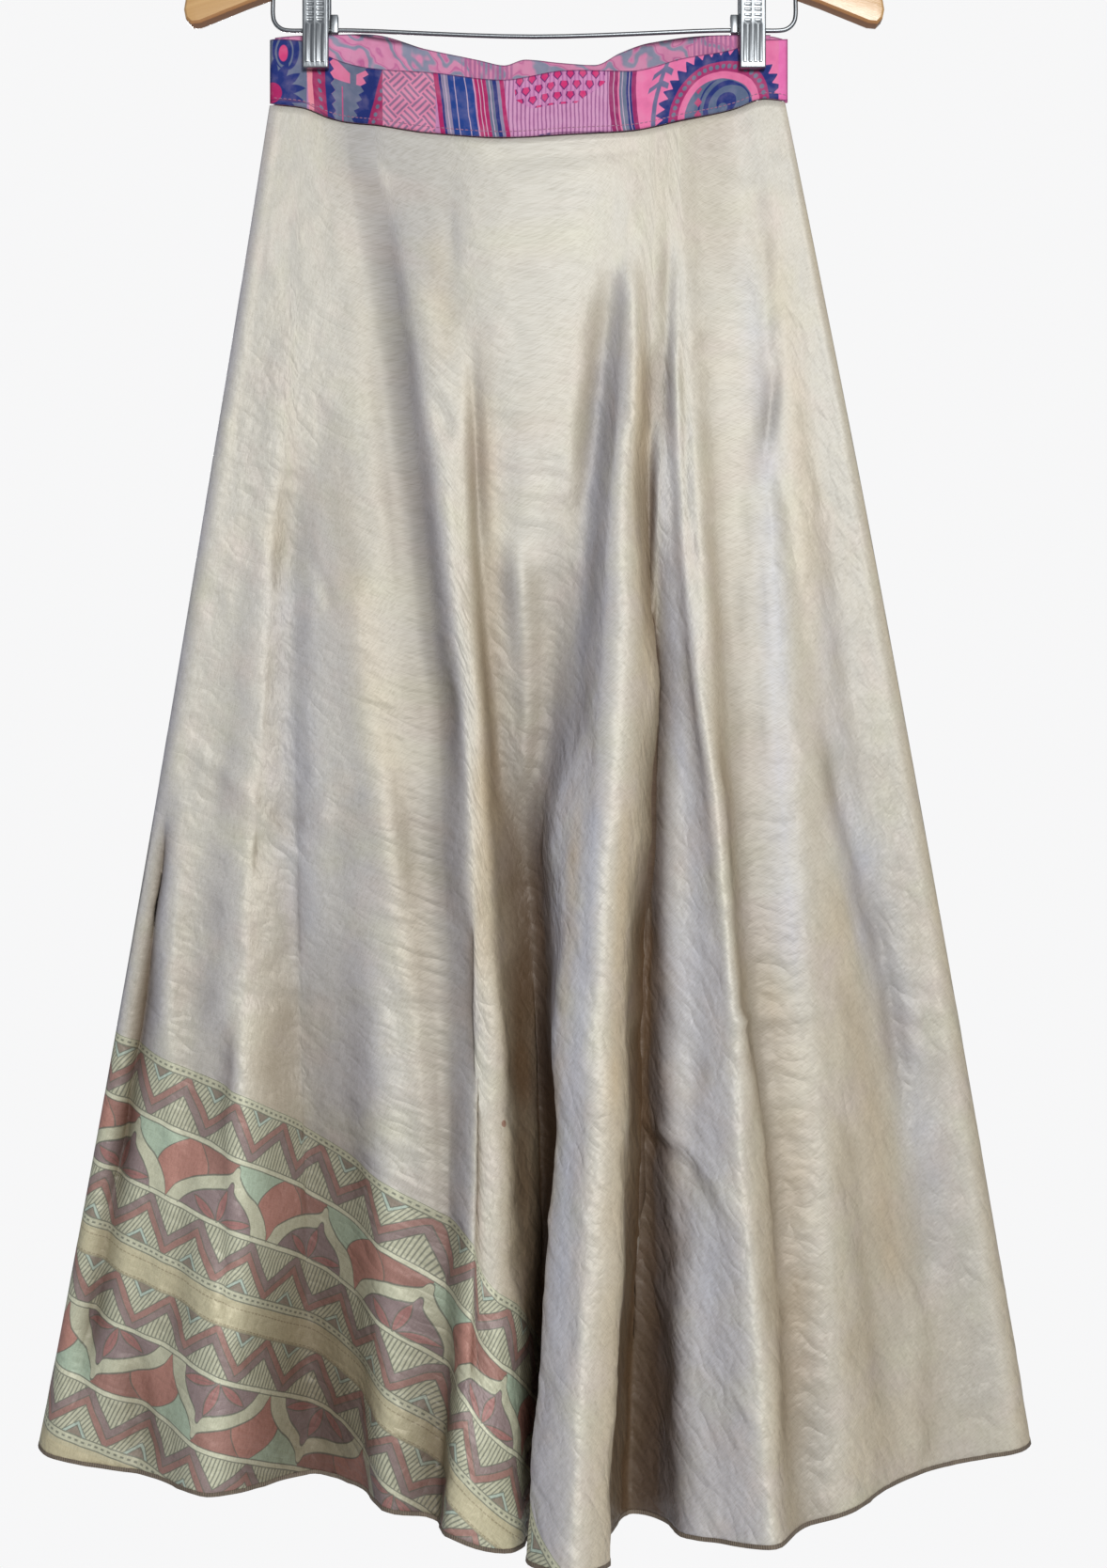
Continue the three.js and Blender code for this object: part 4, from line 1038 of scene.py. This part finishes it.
def band_grid(rows, start, end, layer, phase):
    """A length of the strip. It ripples a little, but not at its ends nor where a clip grips it."""
    count = round(abs(end - start) / BAND_PITCH)
    xs = np.linspace(start, end, count + 1)
    down = np.linspace(0, 1, BAND_ROWS + 1)
    keys = ("y", "top", "bottom")
    y, top, bottom = (np.array([smooth_at(rows, x, key) for x in xs]) for key in keys)
    edge = np.minimum(1, np.minimum(xs - xs.min(), xs.max() - xs) / BAND_CALM)
    clipped = 1 - np.exp(-(((np.abs(xs) - CLIP_X) / CLIP_PRESS) ** 4))
    ripple = 0.35 * np.sin(xs / 6.1 + phase) + 0.25 * np.sin(xs / 2.9 + 2 * phase)
    ripple = (ripple * edge * clipped)[:, None] * np.sin(np.pi * down)
    grid = np.empty((len(xs), len(down), 3))
    grid[..., 0] = xs[:, None]
    grid[..., 1] = (y + layer * LAYER_GAP)[:, None] + ripple
    grid[..., 2] = top[:, None] + (bottom - top)[:, None] * down
    return grid


def band_places(grid):
    """Places on the printed strip: along it from the grid's first column, and down it."""
    run = np.linalg.norm(np.diff(grid[:, 0, :2], axis=0), axis=1)
    along = np.concatenate([[0], np.cumsum(run)])
    depth = np.linalg.norm(grid[:, -1] - grid[:, 0], axis=-1)
    down = depth[:, None] * np.linspace(0, 1, grid.shape[1])
    return np.stack([np.broadcast_to(along[:, None], down.shape), down], axis=-1) * MM


left_end, right_end = FRONT_BAND[0]["x"], FRONT_BAND[-1]["x"]
BANDS = table(("name", "node", "rows", "start", "end", "layer", "flat"), [
    ("band_front", "front_waistband", FRONT_BAND, left_end + 0.4, right_end - 0.4, 0, 0.340),
    ("band_under", "under_waistband", BACK_BAND, UNDER_BAND_END, left_end + BAND_TURN, 0, 0.325),
    ("band_over", "over_waistband", BACK_BAND, right_end - BAND_TURN, OVER_BAND_END, 1, 0.318),
])
band_pieces = {}
for number, band in enumerate(BANDS):
    grid = band_grid(band["rows"], band["start"], band["end"], band["layer"], number)
    piece = shell(band["name"], grid, BAND_THICKNESS, band_places(grid))
    piece.data.materials.append(band_print)
    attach(piece, "root")
    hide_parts(band["node"])
    band_pieces[band["name"]] = piece, grid
    grips = ["left_jaw_front", "right_jaw_front"] if number == 0 else ["right_jaw_back"]

# ---------------------------------------------------------------- sewing
# Stitches along the waistband's lower edge, and an overlocked thread edge round the whole hem.
STITCH_PITCH = 3.1
STITCH_LENGTH = 2.3
STITCH_HIGH = 0.3
STITCH_WIDE = 0.32
STITCH_SIDES = 6
STITCH_RINGS = ((0.0, 0.35), (0.25, 1.0), (0.75, 1.0), (1.0, 0.35))
STITCH_ABOVE_EDGE = 3
thread_dye = Dye("thread", sRGB(150, 96, 128))
tx, _, tz = thread_dye.own_place()
thread_dye.coat(thread_dye.noise(tx, tz, 3).mask(1, 0.3), sRGB(196, 150, 170))
thread = thread_dye.finish(0.6, height=thread_dye.noise(tx, tz, 0.6, 0.9), distance=0.0001)


def point_at(run, points, at):
    """The point of a line of points at a length along it."""
    return np.array([np.interp(at, run, points[:, axis]) for axis in range(3)])


def stitch_row(name, points, normals):
    """Short rounded stitches along points, each half sunk in the cloth."""
    legs = np.linalg.norm(np.diff(points, axis=0), axis=1)
    run = np.concatenate([[0], np.cumsum(legs)])
    vertices, faces = [], []
    for start in np.arange(STITCH_PITCH, run[-1] - STITCH_PITCH, STITCH_PITCH):
        here, there = point_at(run, points, start), point_at(run, points, start + STITCH_LENGTH)
        normal = point_at(run, normals, start)
        side = np.cross(normal, (there - here) / np.linalg.norm(there - here))
        first = len(vertices)
        for share, swell in STITCH_RINGS:
            for angle in np.arange(STITCH_SIDES) * 2 * np.pi / STITCH_SIDES:
                out = normal * np.cos(angle) * STITCH_HIGH + side * np.sin(angle) * STITCH_WIDE
                vertices.append(here + (there - here) * share + out * swell)
        for ring in range(first, first + (len(STITCH_RINGS) - 1) * STITCH_SIDES, STITCH_SIDES):
            for k in range(STITCH_SIDES):
                a, b = ring + k, ring + (k + 1) % STITCH_SIDES
                faces.append([a, b, b + STITCH_SIDES, a + STITCH_SIDES])
        faces.append([first + k for k in reversed(range(STITCH_SIDES))])
        faces.append([len(vertices) - STITCH_SIDES + k for k in range(STITCH_SIDES)])
    piece = new_piece(name, vertices, faces)
    bpy.context.view_layer.objects.active = piece
    piece.select_set(True)
    bpy.ops.object.mode_set(mode="EDIT")
    bpy.ops.mesh.select_all(action="SELECT")
    bpy.ops.mesh.normals_make_consistent(inside=False)
    bpy.ops.object.mode_set(mode="OBJECT")
    piece.select_set(False)
    return piece


for name in ("band_front", "band_over"):
    _, grid = band_pieces[name]
    normals = grid_normals(grid)
    row = BAND_ROWS - round(STITCH_ABOVE_EDGE * MM / BAND_DEPTH * BAND_ROWS)
    surface = grid[:, row] + normals[:, row] * BAND_THICKNESS / 2
    piece = stitch_row(name.replace("band", "stitches"), surface, normals[:, row])
    piece.data.materials.append(thread)
    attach(piece, "root")

overlock_dye = Dye("overlock", sRGB(126, 112, 96))
along, depth = overlock_dye.cloth_place()
loops = (along / 1.5).calc("FRACT").line(0.5, 0.55, 0.25)
overlock_dye.coat(loops * 0.8, sRGB(84, 74, 66))
overlock_dye.coat(overlock_dye.noise(along, depth, 6).mask(1, 0.1), sRGB(150, 136, 116))
overlock = overlock_dye.finish(0.7, height=loops, distance=0.0003)
HEM_HEIGHT = 2.2
HEM_THICKNESS = 1.3
HEM_REACHES = np.array([-HEM_HEIGHT, -HEM_HEIGHT / 2, 0, 0.5])
HEM_PLACES = np.array([0, 1.6, 3.2, 3.7])
for name, cloth in (("hem_front", front_grid), ("hem_under", under_grid), ("hem_over", over_grid)):
    last, before = cloth[:, -1], cloth[:, -2]
    down = (last - before) / np.linalg.norm(last - before, axis=1, keepdims=True)
    grid = last[:, None] + down[:, None] * HEM_REACHES[None, :, None]
    run = np.concatenate([[0], np.cumsum(np.linalg.norm(np.diff(last, axis=0), axis=1))])
    places = np.stack(np.broadcast_arrays(run[:, None], HEM_PLACES), axis=-1) * MM
    piece = shell(name, grid, HEM_THICKNESS, places)
    piece.data.materials.append(overlock)
    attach(piece, "root")

# ---------------------------------------------------------------- ties
# Two narrow ties of the same printed strip hang down the back from the over waistband.
TIE_WIDTH = 20
TIE_THICKNESS = 1.0
TIE_STAND_OFF = 2.6
TIE_HEAD_ROWS = 9
TIE_SHARES = np.linspace(-0.5, 0.5, 9)
TIE_BOW = 0.8
TIE_BOW_FROM = 60
TIE_SWAY = 1.4
TIE_SWAY_WAVE = 62
TIE_SWAY_FROM = 120
TIE_PRINT_AT = 10, 20
TIE_PRINT_PACE = 0.6
TIES = table(("name", "node", "line", "top", "length"), [
    ("tie_left", "left_tie", "back_ridge_2", -186, 500),
    ("tie_right", "right_tie", "back_ridge_4", -184, 430),
])
over_places = places_between(RIGHT_SEAM, FREE_EDGE, BACK_PITCH)
over_plain = cloth_surface(over_places, CLOTH_ROWS)
over_normals = grid_normals(over_plain)
for tie in TIES:
    line = next(i for i, fold in enumerate(WRAP) if fold["name"] == tie["line"] and fold["layer"] == 1)
    centre = int(np.searchsorted(over_places, line))
    rows = round(tie["length"] / SKIRT_LENGTH * CLOTH_ROWS)
    spine = over_plain[centre, :rows + 1] + over_normals[centre, :rows + 1] * TIE_STAND_OFF
    x = over_plain[centre, 0, 0]
    y = smooth_at(BACK_BAND, x, "y") + LAYER_GAP + TIE_STAND_OFF
    head = np.array([[x, y, z] for z in np.linspace(tie["top"], spine[0, 2] + 3, TIE_HEAD_ROWS)])
    path = np.concatenate([head, spine])
    beside = over_plain[centre + 1, :rows + 1] - over_plain[centre - 1, :rows + 1]
    beside[:, 2] = 0
    beside = np.concatenate([np.repeat(beside[:1], len(head), axis=0), beside])
    beside /= np.linalg.norm(beside, axis=1, keepdims=True)
    run = np.concatenate([[0], np.cumsum(np.linalg.norm(np.diff(path, axis=0), axis=1))])
    sway = TIE_SWAY * np.sin(run / TIE_SWAY_WAVE + line) * np.minimum(1, run / TIE_SWAY_FROM)
    across = TIE_SHARES[:, None] * TIE_WIDTH
    grid = path[None] + (across + sway)[..., None] * beside[None]
    bow = TIE_BOW * (1 - (2 * TIE_SHARES[:, None]) ** 2)
    grid[..., 1] += bow * np.minimum(1, run / TIE_BOW_FROM) + 0.25 * np.sin(run / 17)
    print_run = run[None] * TIE_PRINT_PACE + TIE_PRINT_AT[0]
    places = np.stack(np.broadcast_arrays(print_run, TIE_PRINT_AT[1] + across), axis=-1) * MM
    piece = shell(tie["name"], grid, TIE_THICKNESS, places)
    piece.data.materials.append(band_print)
    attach(piece, "root")
    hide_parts(tie["node"])

# ---------------------------------------------------------------- hanger wood
# Pale lacquered hardwood: grain along the arms, darker pores, and a browner underside, which is
# painted shade.
wood_dye = Dye("wood", sRGB(206, 164, 108))
wx, wy, wz = wood_dye.own_place()
bent = wz + wx.size() * wx.size() * 0.0007
grain = wood_dye.noise(wx, bent, 120, 2.2, detail=4)
rings = wood_dye.noise(wx, bent, 260, 7.5, detail=2, z=3)
pores = wood_dye.noise(wx, bent + wy * 0.4, 9, 0.5, detail=2, z=6)
wood_dye.coat(grain.mask(1.6, 0.25) * 0.6, sRGB(176, 130, 78))
wood_dye.coat(rings.mask(3) * 0.5, sRGB(224, 186, 132))
wood_dye.coat((pores - 0.16).mask(5) * 0.5, sRGB(140, 96, 54))
# Painted shade: the faces turned downwards are browner.
surface = wood_dye.node("NewGeometry")
facing = wood_dye.node("SeparateXYZ")
wood_dye.tree.links.new(surface.outputs["Normal"], facing.inputs[0])
underside_shade = Field(wood_dye.tree, facing.outputs[2]).mask(-1.4, -0.15)
wood_dye.coat(underside_shade, sRGB(168, 112, 62))
wood = wood_dye.finish(0.34, height=pores + grain * 0.5, distance=0.00012, Coat_Weight=0.35,
                       Coat_Roughness=0.22)


def copied(node, name, bevel, segments):
    """A CAD node's shape with its doubles merged and its edges rounded."""
    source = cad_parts[node]
    piece = bpy.data.objects.new(name, source.data.copy())
    bpy.context.collection.objects.link(piece)
    bpy.context.view_layer.objects.active = piece
    piece.select_set(True)
    bpy.ops.object.mode_set(mode="EDIT")
    bpy.ops.mesh.select_all(action="SELECT")
    bpy.ops.mesh.remove_doubles(threshold=0.00001)
    bpy.ops.object.mode_set(mode="OBJECT")
    if bevel:
        modifier = piece.modifiers.new("bevel", "BEVEL")
        modifier.width, modifier.segments = bevel * MM, segments
        modifier.limit_method, modifier.angle_limit = "ANGLE", np.radians(22)
        bpy.ops.object.modifier_apply(modifier=modifier.name)
    bpy.ops.object.shade_smooth_by_angle(angle=np.radians(40))
    piece.select_set(False)
    piece.data.materials.clear()
    return piece


arms = copied("hanger_arms", "arms", 0.9, 3)
arms.data.materials.append(wood)
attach(arms, "root")
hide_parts("hanger_arms")

# ---------------------------------------------------------------- hanger wires
# Bright plated wire: the hook stands in the arms' middle, and the bar is one wide U under them.
steel_dye = Dye("steel", sRGB(136, 140, 143))
mx, _, mz = steel_dye.own_place()
steel_dye.coat(steel_dye.noise(mx, mz, 14, detail=3).mask(1, 0.1) * 0.5, sRGB(128, 132, 136))
steel = steel_dye.finish(0.36, height=steel_dye.noise(mx, mz, 1.2, 9), distance=0.00006, Metallic=1.0)
HANGER_HALF = 222.5
TIP_BOTTOM_Z = -166
ARM_RISE = 60
ARM_BOW = 1.6
ARM_HEIGHT_MIDDLE = 38
SOCKET_DEPTH = 8
HOOK_WIRE = 3.6
HOOK_INNER_RADIUS = 20
HOOK_NECK = [(0, 0, -54), (1.5, 0, -48)]
HOOK_TURN = np.radians(np.arange(-55, 206, 20))
BAR_WIRE = 2.8
BAR_X = 168.3
BAR_Y = 0.9
BAR_Z = -165.4
BAR_CORNER = 10
BAR_TURN = np.radians(np.arange(180, 271, 22.5))
BAR_SAG = 4
BAR_LEVEL_X = 118


def arm_underside(x):
    """The height of the arms' underside."""
    return TIP_BOTTOM_Z + ARM_RISE * (1 - (abs(x) / HANGER_HALF) ** ARM_BOW)


def wire(name, points, thickness):
    """A round wire through points, with closed ends."""
    points = np.array(points, float)
    places = np.linspace(0, len(points) - 1, (len(points) - 1) * 6 + 1)
    line = curve_at(points[:, None], places)[:, 0]
    curve = bpy.data.curves.new(name, "CURVE")
    curve.dimensions, curve.bevel_depth = "3D", thickness / 2 * MM
    curve.bevel_resolution, curve.use_fill_caps = 5, True
    spline = curve.splines.new("POLY")
    spline.points.add(len(line) - 1)
    for point, place in zip(spline.points, line):
        point.co = (*(place * MM), 1)
    piece = bpy.data.objects.new(name, curve)
    bpy.context.collection.objects.link(piece)
    bpy.context.view_layer.objects.active = piece
    piece.select_set(True)
    bpy.ops.object.convert(target="MESH")
    piece = bpy.context.object
    bpy.ops.object.shade_smooth_by_angle(angle=np.radians(40))
    piece.select_set(False)
    piece.data.materials.append(steel)
    return piece


ring_radius = HOOK_INNER_RADIUS + HOOK_WIRE / 2
hook_foot = arm_underside(0) + ARM_HEIGHT_MIDDLE - SOCKET_DEPTH
hook_points = [(0, 0, hook_foot), (0, 0, (hook_foot + HOOK_NECK[0][2]) / 2), *HOOK_NECK]
for angle in HOOK_TURN:
    x, z = ring_radius * np.cos(angle), ring_radius * np.sin(angle) - HOOK_INNER_RADIUS
    hook_points.append((x, 0, z))
hook = wire("hook", hook_points, HOOK_WIRE)
bar_top = arm_underside(BAR_X) + SOCKET_DEPTH
bar_points = [(-BAR_X, BAR_Y, bar_top), (-BAR_X, BAR_Y, (bar_top + BAR_Z + BAR_CORNER) / 2)]
for angle in BAR_TURN:
    x = -BAR_X + BAR_CORNER + BAR_CORNER * np.cos(angle)
    bar_points.append((x, BAR_Y, BAR_Z + BAR_CORNER + BAR_CORNER * np.sin(angle)))
bar_points += [(-CLIP_X, BAR_Y, BAR_Z), (-BAR_LEVEL_X, BAR_Y, BAR_Z), (0, BAR_Y, BAR_Z - BAR_SAG)]
bar_points += [(-x, y, z) for x, y, z in bar_points[-2::-1]]
bar = wire("bar", bar_points, BAR_WIRE)
for piece, node in ((hook, "hanger_hook"), (bar, "hanger_bar")):
    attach(piece, "root")
    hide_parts(node)

# ---------------------------------------------------------------- clips
# Each clip has two pressed jaws with four ribs, two columns of small pressed slots above them, a
# folded foot that grips the waistband, and a short tongue that hangs on the bar.
CLIP_WIDTH = 16.5
CLIP_LENGTH = 51.8
CLIP_BOTTOM_Z = -192.5
CLIP_DEPTH = 6
CLIP_SHEET = 1.2
GRIP_FRONT = -2.9
GRIP_BACK = 4.8
RIB_XS = (-5.0, -1.7, 1.7, 5.0)
RIB_HALF = 0.95
RIB_BOTTOM = 3.4
RIB_TOP = 27.6
RIB_RISE = 0.7
RIB_TAPER = 0.99
SLOT_XS = (-3.2, 3.2)
SLOT_HALF = 2.3
SLOT_ZS = (30.6, 34, 37.4, 40.8, 44.2, 47.6)
SLOT_HALF_HEIGHT = 0.7
SLOT_SINK = 0.8
FOOT = 4.4


def edit(piece):
    """Opens a piece for editing, by its faces."""
    bpy.context.view_layer.objects.active = piece
    piece.select_set(True)
    bpy.ops.object.mode_set(mode="EDIT")
    bpy.ops.mesh.select_mode(type="FACE")


def pick(piece, test):
    """Selects the faces whose centre and normal pass the test, in millimetres."""
    bpy.ops.mesh.select_all(action="DESELECT")
    shape = bmesh.from_edit_mesh(piece.data)
    for face in shape.faces:
        face.select_set(bool(test(*(face.calc_center_median() / MM), face.normal)))
    bmesh.update_edit_mesh(piece.data)


def pull(piece, test, x=0.0, y=0.0, z=0.0):
    """Draws the faces that pass the test out by a distance."""
    pick(piece, test)
    bpy.ops.mesh.extrude_region_move(TRANSFORM_OT_translate={"value": (x * MM, y * MM, z * MM)})


def clip_jaw(name, x, facing, grip_y):
    """A jaw made facing the front at x = 0 with its grip on y = 0, then turned and put in place."""
    bpy.ops.object.select_all(action="DESELECT")
    bpy.ops.mesh.primitive_cube_add(size=1, location=(0, -CLIP_DEPTH / 2 * MM, CLIP_LENGTH / 2 * MM))
    piece = bpy.context.object
    piece.name = piece.data.name = name
    piece.scale = (CLIP_WIDTH * MM, CLIP_DEPTH * MM, CLIP_LENGTH * MM)
    bpy.ops.object.transform_apply(location=True, rotation=True, scale=True)
    edit(piece)
    bpy.ops.mesh.select_all(action="SELECT")
    bpy.ops.mesh.bevel(offset=0.7 * MM, segments=2, affect="EDGES")
    inner = CLIP_WIDTH / 2 - CLIP_SHEET
    columns = [at + side * RIB_HALF for at in RIB_XS for side in (-1, 1)]
    columns += [at + side * SLOT_HALF for at in SLOT_XS for side in (-1, 1)]
    columns += [-inner, inner]
    for at in columns:
        bpy.ops.mesh.select_all(action="SELECT")
        bpy.ops.mesh.bisect(plane_co=(at * MM, 0, 0), plane_no=(1, 0, 0))
    levels = [RIB_BOTTOM, RIB_TOP, FOOT, CLIP_LENGTH - CLIP_SHEET]
    levels += [z + side * SLOT_HALF_HEIGHT for z in SLOT_ZS for side in (-1, 1)]
    for at in levels:
        bpy.ops.mesh.select_all(action="SELECT")
        bpy.ops.mesh.bisect(plane_co=(0, 0, at * MM), plane_no=(0, 0, 1))

    def on_front(normal):
        return normal.y < -0.9

    pull(piece, lambda cx, cy, cz, normal: on_front(normal) and RIB_BOTTOM < cz < RIB_TOP
         and any(abs(cx - at) < RIB_HALF for at in RIB_XS), y=-RIB_RISE)
    bpy.ops.transform.resize(value=(1, 1, RIB_TAPER))
    pull(piece, lambda cx, cy, cz, normal: on_front(normal)
         and any(abs(cx - at) < SLOT_HALF for at in SLOT_XS)
         and any(abs(cz - at) < SLOT_HALF_HEIGHT for at in SLOT_ZS), y=SLOT_SINK)
    pull(piece, lambda cx, cy, cz, normal: normal.y > 0.9 and cy > -0.01 and abs(cx) < inner
         and FOOT < cz < CLIP_LENGTH - CLIP_SHEET, y=-(CLIP_DEPTH - CLIP_SHEET - SLOT_SINK))
    bpy.ops.object.mode_set(mode="OBJECT")
    modifier = piece.modifiers.new("bevel", "BEVEL")
    modifier.width, modifier.segments = 0.22 * MM, 2
    modifier.limit_method, modifier.angle_limit = "ANGLE", np.radians(40)
    bpy.ops.object.modifier_apply(modifier=modifier.name)
    piece.rotation_euler = (0, 0, np.pi if facing > 0 else 0)
    piece.location = (x * MM, grip_y * MM, CLIP_BOTTOM_Z * MM)
    bpy.ops.object.transform_apply(location=True, rotation=True, scale=True)
    bpy.ops.object.shade_smooth_by_angle(angle=np.radians(35))
    piece.select_set(False)
    piece.data.materials.append(steel)
    return piece


for side, x in (("left", -CLIP_X), ("right", CLIP_X)):
    front = clip_jaw(side + "_jaw_front", x, -1, GRIP_FRONT)
    back = clip_jaw(side + "_jaw_back", x, 1, GRIP_BACK)
    tongue = copied(side + "_clip_tongue", side + "_tongue", 0.8, 3)
    tongue.data.materials.append(steel)
    for piece, node in ((front, "_clip_front"), (back, "_clip_back"), (tongue, "_clip_tongue")):
        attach(piece, "root")
        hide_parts(side + node)

# ---------------------------------------------------------------- studio
# A pale floor far below the hanging skirt, a pale surround, and large soft lights.
FLOOR_Z = -1.75
bpy.ops.mesh.primitive_circle_add(vertices=64, radius=1.4, fill_type="NGON", location=(0, 0, FLOOR_Z))
floor = bpy.context.object
floor.name = "floor"
floor_paint = bpy.data.materials.new("floor_paint")
floor_paint.use_nodes = True
floor_paint.node_tree.nodes["Principled BSDF"].inputs["Base Color"].default_value = (0.8, 0.8, 0.8, 1)
floor.data.materials.append(floor_paint)

SURROUND = (0.93, 0.93, 0.935, 1)
world = bpy.data.worlds.new("studio")
world.use_nodes = True
bpy.context.scene.world = world
nodes, links = world.node_tree.nodes, world.node_tree.links
seen = nodes["Background"]
seen.inputs["Color"].default_value = SURROUND
lit = nodes.new("ShaderNodeBackground")
lit.inputs["Color"].default_value = (0.82, 0.86, 0.95, 1)
lit.inputs["Strength"].default_value = 0.3
ray = nodes.new("ShaderNodeLightPath")
blend = nodes.new("ShaderNodeMixShader")
links.new(ray.outputs["Is Camera Ray"], blend.inputs[0])
links.new(lit.outputs[0], blend.inputs[1])
links.new(seen.outputs[0], blend.inputs[2])
links.new(blend.outputs[0], nodes["World Output"].inputs[0])

LIGHTS = table(("name", "place", "size", "power", "colour"), [
    ("key", (0.7, -3.5, 0.35), 0.9, 98, (1.0, 0.995, 0.985)),
    ("back_key", (-0.9, 3.6, 0.35), 0.9, 98, (1.0, 0.995, 0.985)),
])
for row in LIGHTS:
    lamp = bpy.data.lights.new(row["name"], "AREA")
    lamp.size = row["size"]
    lamp.energy = row["power"]
    lamp.color = row["colour"]
    light = bpy.data.objects.new(row["name"], lamp)
    bpy.context.collection.objects.link(light)
    light.location = row["place"]
    aim = Vector((0, 0, -0.65)) - light.location
    light.rotation_euler = aim.to_track_quat("-Z", "Y").to_euler()
bpy.context.scene.view_settings.view_transform = "Standard"
